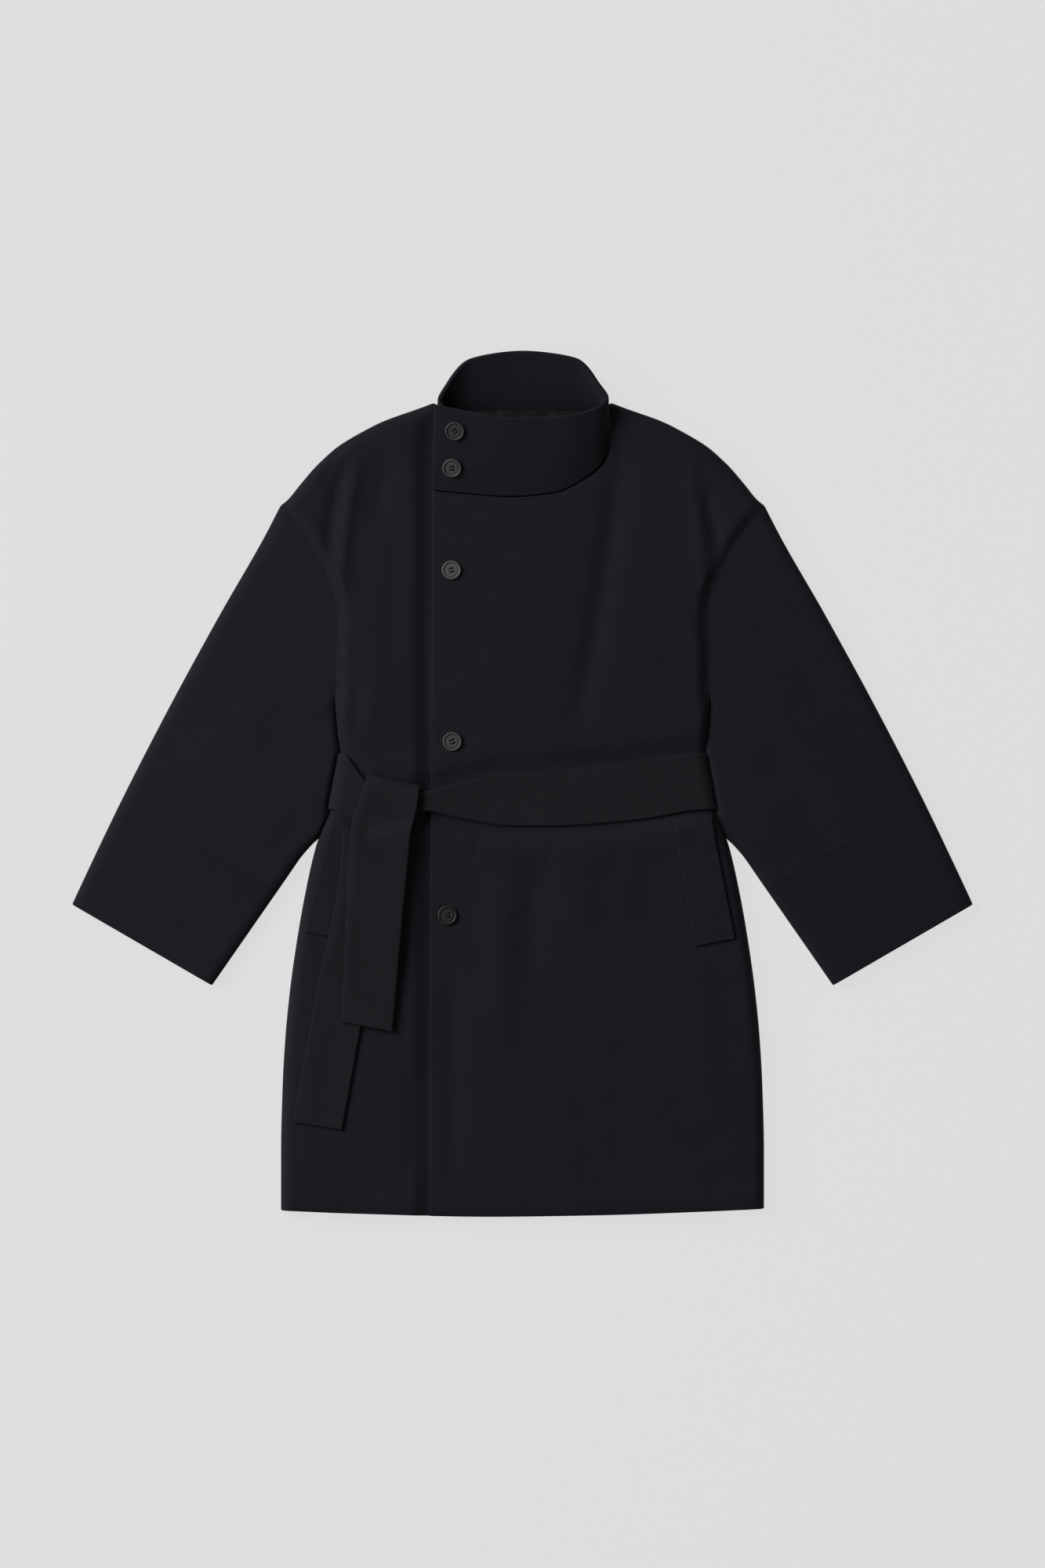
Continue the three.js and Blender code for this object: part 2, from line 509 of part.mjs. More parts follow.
// Rows from hem to top, closer together where the shoulder turns
function levelsFor(levels, steps) {
  const height = SHOULDER.y - HEM_LEVEL;
  const turn = steps.map((sine) => 1 - (SHOULDER_TURN * (1 - sine)) / height);
  return [0, ...levels.map((y) => (y - HEM_LEVEL) / height), ...turn, 1];
}

// Columns with more of them where a side fold turns
function columnsFor(inner, width, leftFold, rightFold) {
  const turn = [0, ...FOLD_STEPS].map((sine) => (FOLD_R * (1 - sine)) / width);
  const left = leftFold ? [...turn].reverse() : [];
  const right = rightFold ? turn.map((share) => 1 - share) : [];
  return [0, ...left, ...inner, ...right, 1];
}

const HEM_LEVEL = -488;
// Widths that the side turns are measured against, where a share of the panel is widest or so
const OVER_WIDTH = 540;
const UNDER_WIDTH = 480;
const BACK_WIDTH = 480;
const TURN_STEPS = [0, ...FOLD_STEPS];

// A body panel: the outer side finer, the inner side plainer
function panel(plan, levels, outerColumns, innerColumns, surface, height) {
  const point = (off) => (row, column) => {
    const { x, y } = plan(row, column);
    return surface(x, y, off, height);
  };
  return wall(
    [{ rows: levelsFor(levels, TURN_STEPS), columns: outerColumns, point: point(0) }],
    [{ rows: levelsFor(TURN_LEVELS, TURN_STEPS), columns: innerColumns, point: point(-SHELL_T) }],
  );
}

const asLaid = (x, y) => y;
const frontOver = panel(
  panelPlan(topEdge(TOP_OVER), EDGE_OVER, SIDE_RIGHT, followBelt, FRONT_SPREAD), BODY_LEVELS,
  columnsFor(OVER_COLUMNS, OVER_WIDTH, false, true), columnsFor(OVER_INNER, OVER_WIDTH, false, true),
  onTop, coatTop,
);
const frontUnder = panel(
  panelPlan(topEdge(TOP_UNDER), SIDE_LEFT, EDGE_UNDER, followBelt, FRONT_SPREAD), BODY_LEVELS,
  columnsFor(UNDER_COLUMNS, UNDER_WIDTH, true, false),
  columnsFor(UNDER_INNER, UNDER_WIDTH, true, false), onTop, underTop,
);
const back = panel(
  panelPlan(topEdge(TOP_BACK), SIDE_LEFT, SIDE_RIGHT, asLaid, BACK_SPREAD), BACK_LEVELS,
  columnsFor(BACK_COLUMNS, BACK_WIDTH, true, true), columnsFor(BACK_COLUMNS, BACK_WIDTH, true, true),
  onBottom,
);

// Sleeves, made on the wearer's left and mirrored
const outerX = reader(SLEEVE_OUTER, 'reach', 'x');
const outerY = reader(SLEEVE_OUTER, 'reach', 'y');
const innerX = reader(SLEEVE_INNER, 'reach', 'x');
const innerY = reader(SLEEVE_INNER, 'reach', 'y');
const armholeEnd = SLEEVE_INNER[SLEEVE_INNER.length - 1];

function armhole(share) {
  const y = mix(SHOULDER.y, armholeEnd.y, share);
  return { x: y > 100 ? bodyHalf(y) + GAP : sleeveSide(y), y };
}

function sleevePlan(reach, share) {
  const edge = armhole(share);
  const straight = { x: mix(SHOULDER.x + GAP, armholeEnd.x, share), y: edge.y };
  const pull = ease((reach - 240) / (SLEEVE_LENGTH - 240)) * 0.5 + clamp((reach - 380) / 135) * 0.5;
  return {
    x: mix(outerX(reach), innerX(reach), share) + pull * (edge.x - straight.x),
    y: mix(outerY(reach), innerY(reach), share),
    edge,
  };
}

const direction = (from, to) => new THREE.Vector2(to.x - from.x, to.y - from.y).normalize();

// All that a point of the sleeve needs: plan, distances to its edges and which way is out
function sleevePlace(reach, share) {
  const { x, y, edge } = sleevePlan(reach, share);
  const outerPoint = { x: outerX(reach), y: outerY(reach) };
  const innerPoint = { x: innerX(reach), y: innerY(reach) };
  const across = direction(innerPoint, outerPoint);
  const width = Math.hypot(outerPoint.x - innerPoint.x, outerPoint.y - innerPoint.y);
  const outerGap = share * width;
  const innerGap = (1 - share) * width;
  const bodyGap = Math.hypot(x - edge.x, y - edge.y);
  const share1 = seamShare(edge.y);
  const near = 1 - ease(bodyGap / ARMHOLE_REACH);
  const outerTurn = Math.max(0, 1 - outerGap / FOLD_R);
  const outerNormal = { x: mix(across.x, SHOULDER_OUT.x, near), y: mix(across.y, SHOULDER_OUT.y, near) };
  const innerTurn = Math.max(0, 1 - innerGap / FOLD_R);
  const bodyTurn = Math.max(0, 1 - bodyGap / FOLD_R) * (1 - share1);
  const turned = arc(outerGap / FOLD_R) * arc(innerGap / FOLD_R);
  const up = turned * mix(arc(bodyGap / FOLD_R), 1, share1);
  const out = new THREE.Vector3(
    outerTurn * outerNormal.x - innerTurn * across.x - bodyTurn,
    outerTurn * outerNormal.y - innerTurn * across.y,
    up,
  );
  if (out.length() > 1) out.normalize();
  return { x, y, edge, bodyGap, share1, turned, out };
}

// Stitched rows sink every other row of the outer cloth
function cuffSink(reach, share) {
  const row = reach / (CUFF_PITCH / 2);
  if (row < 0.5 || row > CUFF_ROWS * 2 + 0.5) return 0;
  const edges = ease(share / 0.03) * ease((1 - share) / 0.03);
  return Math.round(row) % 2 === 1 ? CUFF_DEPTH * edges : 0;
}

function sleeveUpper(reach, share, off) {
  const place = sleevePlace(reach, share);
  const open = FOLD_Z + (sleeveTop(reach) - FOLD_Z) * place.turned;
  const seam = coatTop(bodyHalf(place.edge.y), place.edge.y) - GAP / 2;
  const atArmhole = mix(seam, open, ease(place.bodyGap / ARMHOLE_REACH));
  const atFold = FOLD_Z + (open - FOLD_Z) * arc(place.bodyGap / FOLD_R);
  const z = mix(atFold, atArmhole, place.share1) + GAP / 2;
  const sink = off === 0 ? cuffSink(reach, share) : 0;
  return new THREE.Vector3(place.x, place.y, z).addScaledVector(place.out, off - sink);
}

function sleeveUnder(reach, share, off) {
  const place = sleevePlace(reach, share);
  const fold = FOLD_Z - GAP / 2;
  const open = fold * (1 - place.turned);
  const seam = coatBottom(bodyHalf(place.edge.y), place.edge.y);
  const atArmhole = mix(seam, open, ease(place.bodyGap / ARMHOLE_REACH));
  const atFold = fold - (fold - open) * arc(place.bodyGap / FOLD_R);
  const z = mix(atFold, atArmhole, place.share1);
  return new THREE.Vector3(
    place.x + place.out.x * off, place.y + place.out.y * off, z - place.out.z * off,
  );
}

// The columns start on the body's own rows along the armhole, so the two seams match
const armholeShare = (y) => (SHOULDER.y - y) / (SHOULDER.y - armholeEnd.y);
const sleeveTurn = TURN_STEPS.map((sine) => (SHOULDER_TURN * (1 - sine)) / (SHOULDER.y - armholeEnd.y));
const innerTurn = TURN_STEPS.map((sine) => 1 - (FOLD_R * (1 - sine)) / 230);
const sleeveColumns = [
  0, ...[...sleeveTurn].reverse(),
  ...[275, 250, 228, 208, 185, 150, 108, 78, 35, 0, -29].map(armholeShare), ...innerTurn, 1,
];
const cuffColumns = [0, sleeveTurn[2], sleeveTurn[0], 0.5, innerTurn[0], innerTurn[2], 1];
const armholeTurn = [...TURN_STEPS.map((sine) => SLEEVE_LENGTH - FOLD_R * (1 - sine)), SLEEVE_LENGTH];
const cuffReaches = evenly(CUFF_ROWS * 2).map((share) => share * CUFF_ROWS * CUFF_PITCH);

function sleeve(make, cuffRows, bodyRows, mirror) {
  const point = (off) => (row, column) => {
    const spot = make(row, column, off);
    return new THREE.Vector3(spot.x * mirror, spot.y, spot.z);
  };
  return wall(
    [
      { rows: cuffRows, columns: cuffColumns, point: point(0) },
      { rows: [...bodyRows, ...armholeTurn], columns: sleeveColumns, point: point(0) },
    ],
    [{ rows: [...PLAIN_CUFF, ...PLAIN_REACHES, ...armholeTurn], columns: sleeveColumns, point: point(-SHELL_T) }],
  );
}

// The collar, one band that overlaps itself at the front
const collarRows = COLLAR.map((row, i) => ({ ...row, at: i / (COLLAR.length - 1) }));
const collarAt = Object.fromEntries(
  Object.keys(COLLAR[0]).map((column) => [column, reader(collarRows, 'at', column)]),
);

function collarMiddle(height, around) {
  const belly = Math.sin(Math.PI * height) * 1.2 * (1 - ease((around - 0.35) / 0.15));
  return new THREE.Vector3(
    mix(collarAt.seamX(around), collarAt.rimX(around), height),
    mix(collarAt.seamY(around), collarAt.rimY(around), height),
    mix(collarAt.seamZ(around), collarAt.rimZ(around), height) + belly,
  );
}

const collar = wallAbout(evenly(4), evenly(40), collarMiddle, COLLAR_T);

// The belt: over the front from the knot, round the wearer's left, across the back and back
// round the wearer's right to the knot. The fronts give its points, moved out.
const BELT_SIDE = 211; // about where the belt turns round the side

function beltSection(around) {
  const quarter = around * 4;
  if (quarter <= 1) return { part: 'front', from: BELT_END_LEFT, to: 1, k: quarter };
  if (quarter <= 3) return { part: 'back', from: 1, to: -1, k: (quarter - 1) / 2 };
  return { part: 'front', from: BELT_END_RIGHT, to: -1, k: 4 - quarter };
}

function beltPoint(around, across, off) {
  const section = beltSection(around);
  const spread = 2 * across - 1;
  if (section.part === 'back') {
    const y = BELT_BACK.y + BELT_BACK.half * spread;
    return onBottom(mix(section.from, section.to, section.k) * bodyHalf(y), y, off);
  }
  const near = mix(section.from, section.to * BELT_SIDE, section.k);
  const y = beltMiddle(near) + beltHalf(near) * spread;
  const x = mix(section.from, section.to * bodyHalf(y), section.k);
  const gather = Math.min(2.4, BELT_BACK.half / beltHalf(near));
  const thick = off > BELT_CLEAR ? (off - BELT_CLEAR) * gather + BELT_CLEAR : off;
  return onTop(x, y, thick, beltSeat);
}

function beltStations() {
  const reach = 350;
  const turn = [0, ...FOLD_STEPS].map((sine) => (FOLD_R * (1 - sine)) / reach / 4);
  const front = [0, 0.02, 0.04, 0.06, 0.085, 0.13, 0.18, 0.21];
  const toSide = turn.map((share) => 0.25 - share);
  const fromSide = [...FOLD_STEPS].reverse().map((sine) => 0.25 + ((FOLD_R * (1 - sine)) / 215) * 0.25);
  const half = [...front, ...toSide, 0.25, ...fromSide, 0.25 + (FOLD_R / 215) * 0.25, 0.33, 0.42];
  const leftTurn = [0, ...FOLD_STEPS].map((sine) => ((FOLD_R * (1 - sine)) / 90) * 0.25);
  const farBack = half.filter((station) => station > 0.25).map((station) => 1 - station);
  const farFront = [...leftTurn.map((share) => 0.75 + share).reverse(), 0.82, 0.87, 0.92, 0.96, 1];
  return [...half, 0.5, ...farBack.reverse(), 0.75, ...farFront].sort((a, b) => a - b);
}

const beltColumns = evenly(2);
const belt = wall(
  [{ rows: beltStations(), columns: beltColumns, point: (row, column) => beltPoint(row, column, BELT_CLEAR + BELT_T) }],
  [{ rows: beltStations(), columns: beltColumns, point: (row, column) => beltPoint(row, column, BELT_CLEAR) }],
);

// A hanging tail, lifted off the coat by the amount in its table
function tail(table, rows, columns, height) {
  const rowsAt = table.map((row, i) => ({ ...row, at: i / (table.length - 1) }));
  const read = Object.fromEntries(Object.keys(table[0]).map((column) => [column, reader(rowsAt, 'at', column)]));
  const middle = (along, across) => {
    const x = mix(read.leftX(along), read.rightX(along), across);
    const y = mix(read.leftY(along), read.rightY(along), across);
    return new THREE.Vector3(x, y, height(x, y) + read.lift(along) + BELT_T / 2);
  };
  return wallAbout(rows, columns, middle, BELT_T);
}

// Pocket welts lie on the fronts
function welt(side, shift) {
  const rowsAt = WELT.map((row, i) => ({ ...row, at: i / (WELT.length - 1) }));
  const read = Object.fromEntries(Object.keys(WELT[0]).map((column) => [column, reader(rowsAt, 'at', column)]));
  const point = (off) => (row, across) => {
    const along = mix(shift.start, 1, row);
    const clear = off + GAP + WELT_LIFT + WELT_CLEAR * (1 - ease(along / 0.3));
    const x = side * (mix(read.inX(along), read.outX(along), across) + shift.x * along);
    const y = mix(read.inY(along), read.outY(along), across) + shift.y * along;
    return onTop(x, y, clear);
  };
  return wall(
    [{ rows: WELT_ROWS, columns: WELT_COLUMNS, point: point(WELT_T) }],
    [{ rows: WELT_ROWS, columns: WELT_COLUMNS, point: point(0) }],
  );
}

const liningStrip = wall(
  [{ rows: [0, 1], columns: evenly(6), point: (row, column) => liningPoint(row, column, SHELL_T + GAP) }],
  [{ rows: [0, 1], columns: evenly(6), point: (row, column) => liningPoint(row, column, SHELL_T + GAP + LINING_T) }],
);

function liningPoint(row, column, z) {
  return new THREE.Vector3(mix(-62, 72, column), mix(404, 429, row), z);
}

// Buttons: a turned disc with four holes and a thread shank through the buttonhole
function turned(profile, segments) {
  const points = [];
  const faces = [];
  const ring = profile.map(({ r, z }) =>
    Array.from({ length: r === 0 ? 1 : segments }, (_, i) => {
      const angle = (2 * Math.PI * i) / segments;
      return points.push(new THREE.Vector3(r * Math.cos(angle), r * Math.sin(angle), z)) - 1;
    }));
  const pick = (ids, i) => ids[i % ids.length];
  for (let level = 0; level < ring.length - 1; level += 1) {
    const [upper, lower] = [ring[level], ring[level + 1]];
    for (let i = 0; i < segments; i += 1) {
      if (upper.length > 1) faces.push([pick(upper, i), pick(lower, i), pick(upper, i + 1)]);
      if (lower.length > 1) faces.push([pick(upper, i + 1), pick(lower, i), pick(lower, i + 1)]);
    }
  }
  return solid(points, faces);
}

function toManifold(geometry) {
  const vertProperties = new Float32Array(geometry.getAttribute('position').array);
  const triVerts = new Uint32Array(geometry.getIndex().array);
  return new wasm.Manifold(new wasm.Mesh({ numProp: 3, vertProperties, triVerts }));
}

function fromManifold(body) {
  const mesh = body.getMesh();
  const geometry = new THREE.BufferGeometry();
  const step = mesh.numProp;
  const positions = [];
  for (let i = 0; i < mesh.vertProperties.length; i += step) {
    positions.push(...mesh.vertProperties.slice(i, i + 3));
  }
  geometry.setAttribute('position', new THREE.Float32BufferAttribute(positions, 3));
  geometry.setIndex(Array.from(mesh.triVerts));
  return geometry;
}

const cylinder = (r, bottom, top, segments) =>
  turned([{ r: 0, z: top }, { r, z: top }, { r, z: bottom }, { r: 0, z: bottom }], segments);

// Where the collar's over end is at a plan point, found by stepping along its height
function collarSpot(x, y) {
  let [height, around] = [0.5, 0.03];
  for (let turn = 0; turn < 40; turn += 1) {
    const here = collarMiddle(height, around);
    const up = collarMiddle(height + 0.01, around).sub(here).divideScalar(0.01);
    const along = collarMiddle(height, around + 0.01).sub(here).divideScalar(0.01);
    const det = up.x * along.y - up.y * along.x;
    const [dx, dy] = [x - here.x, y - here.y];
    height += (dx * along.y - dy * along.x) / det;
    around += (up.x * dy - up.y * dx) / det;
  }
  const here = collarMiddle(height, around);
  const up = collarMiddle(height + 0.01, around).sub(here);
  const along = collarMiddle(height, around + 0.01).sub(here);
  const normal = along.cross(up).normalize();
  return { normal, point: here.addScaledVector(normal, COLLAR_T / 2), layer: COLLAR_T };
}

function frontSpot(x, y) {
  const slopeX = (coatTop(x + FINE, y) - coatTop(x - FINE, y)) / (2 * FINE);
  const slopeY = (coatTop(x, y + FINE) - coatTop(x, y - FINE)) / (2 * FINE);
  const normal = new THREE.Vector3(-slopeX, -slopeY, 1).normalize();
  return { normal, point: new THREE.Vector3(x, y, coatTop(x, y)), layer: SHELL_T };
}

function place(geometry, spot, lift) {
  const turn = new THREE.Quaternion().setFromUnitVectors(new THREE.Vector3(0, 0, 1), spot.normal);
  const at = spot.point.clone().addScaledVector(spot.normal, lift);
  geometry.applyMatrix4(new THREE.Matrix4().compose(at, turn, new THREE.Vector3(1, 1, 1)));
  return geometry;
}

const BUTTON_LIFT = 0.8; // the buttonhole's lips are this thick

function button(spot) {
  let body = toManifold(turned([...BUTTON_SHAPE, { r: 0, z: 0 }], 16));
  for (let i = 0; i < 4; i += 1) {
    const angle = Math.PI / 4 + (i * Math.PI) / 2;
    const hole = cylinder(HOLE_R, -1, BUTTON_T + 1, 6);
    hole.translate(HOLE_OUT * Math.cos(angle), HOLE_OUT * Math.sin(angle), 0);
    body = body.subtract(toManifold(hole));
  }
  const shank = cylinder(SHANK_R, -(BUTTON_LIFT + spot.layer + SHANK_PAST), 1, 8);
  body = body.add(toManifold(shank));
  return place(fromManifold(body), spot, BUTTON_LIFT);
}

// A keyhole buttonhole: an eyelet round the shank and a slit away from the edge
function buttonhole(spot) {
  const depth = spot.layer + 3;
  const eyelet = toManifold(cylinder(EYELET_R, -depth, 3, 10));
  const slit = new THREE.BoxGeometry(BUTTONHOLE_L, BUTTONHOLE_W, depth + 3);
  slit.translate(BUTTONHOLE_L / 2, 0, (3 - depth) / 2);
  const corners = slit.getAttribute('position');
  const points = Array.from({ length: corners.count }, (_, i) => new THREE.Vector3().fromBufferAttribute(corners, i));
  const unique = [...new Map(points.map((p) => [p.toArray().map((v) => v.toFixed(3)).join(), p])).values()];
  const idOf = (p) => unique.findIndex((q) => q.distanceTo(p) < 0.01);
  const index = Array.from(slit.getIndex().array);
  const faces = evenly(index.length / 3 - 1).map((_, i) => [0, 1, 2].map((k) => idOf(points[index[3 * i + k]])));
  const cut = eyelet.add(toManifold(solid(unique, faces)));
  return toManifold(place(fromManifold(cut), spot, 0));
}

const spots = BUTTONS.map(({ x, y, on }) => (on === 'collar' ? collarSpot(x, y) : frontSpot(x, y)));
const cutHoles = (geometry, on) => {
  const cuts = spots.filter((_, i) => BUTTONS[i].on === on).map(buttonhole);
  return fromManifold(cuts.reduce((body, cut) => body.subtract(cut), toManifold(geometry)));
};

const CLOTH = { color: 0x1d1c21, roughness: 0.9, metalness: 0 };
const COLLAR_CLOTH = { color: 0x1b1a1f, roughness: 0.9, metalness: 0 };
const BELT_CLOTH = { color: 0x1c1c1f, roughness: 0.85, metalness: 0 };
const SATIN = { color: 0x2a2725, roughness: 0.45, metalness: 0 };
const MOULDED = { color: 0x3a3a3d, roughness: 0.4, metalness: 0 };

const group = new THREE.Group();
group.name = 'padded_coat';

function addNode(name, geometry, finish) {
  geometry.computeVertexNormals();
  const node = new THREE.Mesh(geometry, new THREE.MeshStandardMaterial(finish));
  node.name = name;
  group.add(node);
}

addNode('back', back, CLOTH);
addNode('front_over', cutHoles(frontOver, 'front'), CLOTH);
addNode('front_under', frontUnder, CLOTH);
addNode('sleeve_left_upper', sleeve(sleeveUpper, cuffReaches, SLEEVE_REACHES, 1), CLOTH);
addNode('sleeve_left_under', sleeve(sleeveUnder, PLAIN_CUFF, PLAIN_REACHES, 1), CLOTH);
addNode('sleeve_right_upper', sleeve(sleeveUpper, cuffReaches, SLEEVE_REACHES, -1), CLOTH);
addNode('sleeve_right_under', sleeve(sleeveUnder, PLAIN_CUFF, PLAIN_REACHES, -1), CLOTH);
addNode('collar', cutHoles(collar, 'collar'), COLLAR_CLOTH);
addNode('neck_lining', liningStrip, SATIN);
addNode('belt', belt, BELT_CLOTH);
addNode('belt_tail_over', tail(TAIL_OVER, evenly(18), evenly(4), coatTop), BELT_CLOTH);
addNode('belt_tail_under', tail(TAIL_UNDER, evenly(12), evenly(4), coatTop), BELT_CLOTH);
addNode('pocket_welt_left', welt(1, { x: 0, y: 0, start: 0 }), CLOTH);
addNode('pocket_welt_right', welt(-1, WELT_RIGHT_SHIFT), CLOTH);
spots.forEach((spot, i) => addNode(`button_${i + 1}`, button(spot), MOULDED));

export default group;
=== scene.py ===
"""Dresses the padded wrap coat: each cloth piece again as a finer padded wall, its buttons,
buttonholes and stitched cuffs, and a soft studio seen from straight above.

Shapes are worked out in millimetres, with +X to the wearer's left, +Y to the collar and +Z up from
the floor, from the same sizes as the solids. They become metres when a mesh is made.
"""
from __future__ import annotations

import logging
import math
from dataclasses import dataclass, field
from enum import Enum
from typing import Any, Callable, Sequence

import bmesh
import bpy
import numpy as np
from mathutils import Matrix, Vector


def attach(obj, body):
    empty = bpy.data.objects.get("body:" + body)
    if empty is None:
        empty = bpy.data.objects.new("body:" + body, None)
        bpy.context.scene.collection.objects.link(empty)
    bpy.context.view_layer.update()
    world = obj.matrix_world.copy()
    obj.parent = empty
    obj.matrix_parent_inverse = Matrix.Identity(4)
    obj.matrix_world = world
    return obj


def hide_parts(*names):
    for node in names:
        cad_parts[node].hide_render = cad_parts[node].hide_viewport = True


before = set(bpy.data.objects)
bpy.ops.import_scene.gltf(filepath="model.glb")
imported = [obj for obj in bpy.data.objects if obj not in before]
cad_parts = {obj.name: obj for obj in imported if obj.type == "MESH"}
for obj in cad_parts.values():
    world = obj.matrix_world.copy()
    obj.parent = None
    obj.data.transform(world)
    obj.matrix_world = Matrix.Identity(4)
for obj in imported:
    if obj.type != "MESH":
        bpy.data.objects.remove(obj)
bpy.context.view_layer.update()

log = logging.getLogger("padded_coat")

Array = np.ndarray
Place = Callable[[Array, Array, float], Array]

# One millimetre in metres. Sizes are millimetres unless they say metres
MM = 0.001
# Between two sewn pieces
GAP = 0.3
# Thickness of the cloth of body and sleeves, collar, belt and pocket welts
SHELL_T, COLLAR_T, BELT_T, WELT_T = 4.0, 5.0, 3.2, 2.6
# Height of the side, shoulder and sleeve folds, and how far in the cloth still turns
FOLD_Z, FOLD_R = 9.0, 13.0
# Height of the outer cloth along the armhole seam, and over what distance it sinks to it
ARMHOLE_TOP, ARMHOLE_REACH = 16.8, 17.0
# The under front lies this far below the over front
OVERLAP_DROP = 5.4
# Between the belt and the coat, and how much the back rises to clear the belt under it
BELT_CLEAR = 0.6
BELT_LIFT = BELT_T + BELT_CLEAR
# How far the belt draws the front in
BELT_DIP = 4.5
# Where the side fold opens into the armhole, and over what height
UNDERARM_Y, UNDERARM_BLEND = 78.0, 30.0
SHOULDER = (277.3, 319.5)
NECK = (102.0, 437.0)
HEM_LEVEL = -488.0
QUARTER_TURN = np.sin(np.radians(np.arange(0, 91, 10)))


class Side(Enum):
    """The wearer's side that a piece is on. The value is the sign of its X."""

    LEFT = 1
    RIGHT = -1


class Held(Enum):
    """How a sheet of cloth is held."""

    LAID = "laid"
    FOLDED = "folded"
    GATHERED = "gathered"


def mix(a: Any, b: Any, k: Any) -> Any:
    """The value that lies a share k of the way from a to b."""
    return a + (b - a) * k


def ease(v: Any) -> Any:
    """A soft step from 0 at v = 0 to 1 at v = 1."""
    v = np.clip(v, 0.0, 1.0)
    return v * v * (3.0 - 2.0 * v)


def bell(v: Any) -> Any:
    """A soft bump, 1 at v = 0 and almost nothing past v = 2."""
    return np.exp(-np.square(v))


def arc(v: Any) -> Any:
    """A quarter circle: 0 at a fold, where v is 0, and 1 where the turn ends."""
    return np.sqrt(1.0 - np.square(1.0 - np.clip(v, 0.0, 1.0)))


class Table:
    """A short table with named columns, read between its rows as smooth curves."""

    def __init__(self, columns: str, rows: Sequence[Sequence[float]], key: str = "") -> None:
        """Keeps the rows.

        Args:
            columns: the columns' names, with spaces between them.
            rows: one row of sizes each.
            key: the column that the others are read against, or none for even steps from 0 to 1.
        """
        names = columns.split()
        data = np.array(rows, float)
        self.at = data[:, names.index(key)] if key else np.linspace(0.0, 1.0, len(rows))
        self.columns = {name: data[:, i] for i, name in enumerate(names)}

    def read(self, column: str, want: Any) -> Array:
        """Reads one column.

        Args:
            column: the column's name.
            want: where along the key column it is read.

        Returns:
            The values there, held level past both ends.
        """
        values = self.columns[column]
        slopes = np.diff(values) / np.diff(self.at)
        product = slopes[:-1] * slopes[1:]
        total = np.where(product > 0, slopes[:-1] + slopes[1:], 1.0)
        inner = np.where(product > 0, 2.0 * product / total, 0.0)
        tangents = np.concatenate([slopes[:1], inner, slopes[-1:]])
        want = np.asarray(want, float)
        i = np.clip(np.searchsorted(self.at, want) - 1, 0, len(self.at) - 2)
        span = self.at[i + 1] - self.at[i]
        k = np.clip((want - self.at[i]) / span, 0.0, 1.0)
        rest = 1.0 - k
        ends = values[i] * (1 + 2 * k) * rest**2 + values[i + 1] * (1 + 2 * rest) * k**2
        return ends + span * (tangents[i] * k * rest**2 - tangents[i + 1] * rest * k**2)


BODY = Table(
    "y half",
    [
        (-500, 277.0), (-423, 277.0), (-342, 275.0), (-288, 271.8), (-234, 266.4), (-180, 258.8),
        (-126, 249.3), (-72, 237.0), (-50, 229.0), (-30, 221.0), (3, 214.6), (34, 209.5),
        (56, 212.0), (100, 215.0), (150, 215.0), (185, 213.5), (212, 215.5), (230, 221.0),
        (255, 232.5), (288, 253.5), (319.5, 277.3),
    ],
    "y",
)
CROWN = Table(
    "y top",
    [
        (-500, 18.5), (-470, 20), (-300, 21.5), (-120, 22.5), (0, 22.5), (90, 24), (200, 23.5),
        (290, 21.5), (335, 20), (440, 19),
    ],
    "y",
)
BELT_FRONT = Table(
    "x y half",
    [
        (-226, 3, 32), (-207, 3, 32), (-192, -9, 29), (-178, -20, 24), (-165, -24, 17),
        (-140, -23, 12), (-118, -20, 11), (-69, -19, 21), (-24, -17.5, 30), (30, -16, 32),
        (120, -8, 33), (207, 3, 32), (226, 3, 32),
    ],
    "x",
)
BELT_BACK_Y, BELT_BACK_HALF = 3.0, 32.0
BELT_END_LEFT, BELT_END_RIGHT, BELT_SIDE = -134.0, -146.0, 211.0
# Ridges and troughs of the fronts: x and y of both ends, bow, width and rise
FOLDS = (
    (-184, 392, -208, 205, 5, 8, 3.4),
    (-200, 380, -224, 240, 5, 9, -3.6),
    (-153, 385, -174, 285, 0, 13, -2.2),
    (-174, 160, -173, 45, 0, 15, 2.0),
    (-206, 398, -232, 338, 0, 6, -1.4),
    (118, 425, 54, 28, -6, 15, -4.2),
    (186, 395, 208, 205, -5, 8, 2.2),
    (203, 350, 224, 240, -5, 8, -3.0),
    (-18, -50, -30, -340, 0, 22, 2.6),
    (18, -55, 4, -250, 0, 17, -2.2),
    (70, -55, 62, -190, 0, 22, 1.8),
    (142, -75, 150, -180, 0, 20, -2.0),
    (-84, -180, -78, -485, 0, 14, -2.4),
    (-124, -300, -128, -480, 0, 13, -2.2),
    (53, 34, 57, 8, 0, 6, -2.0),
    (72, -36, 70, -66, 0, 6, -2.0),
)
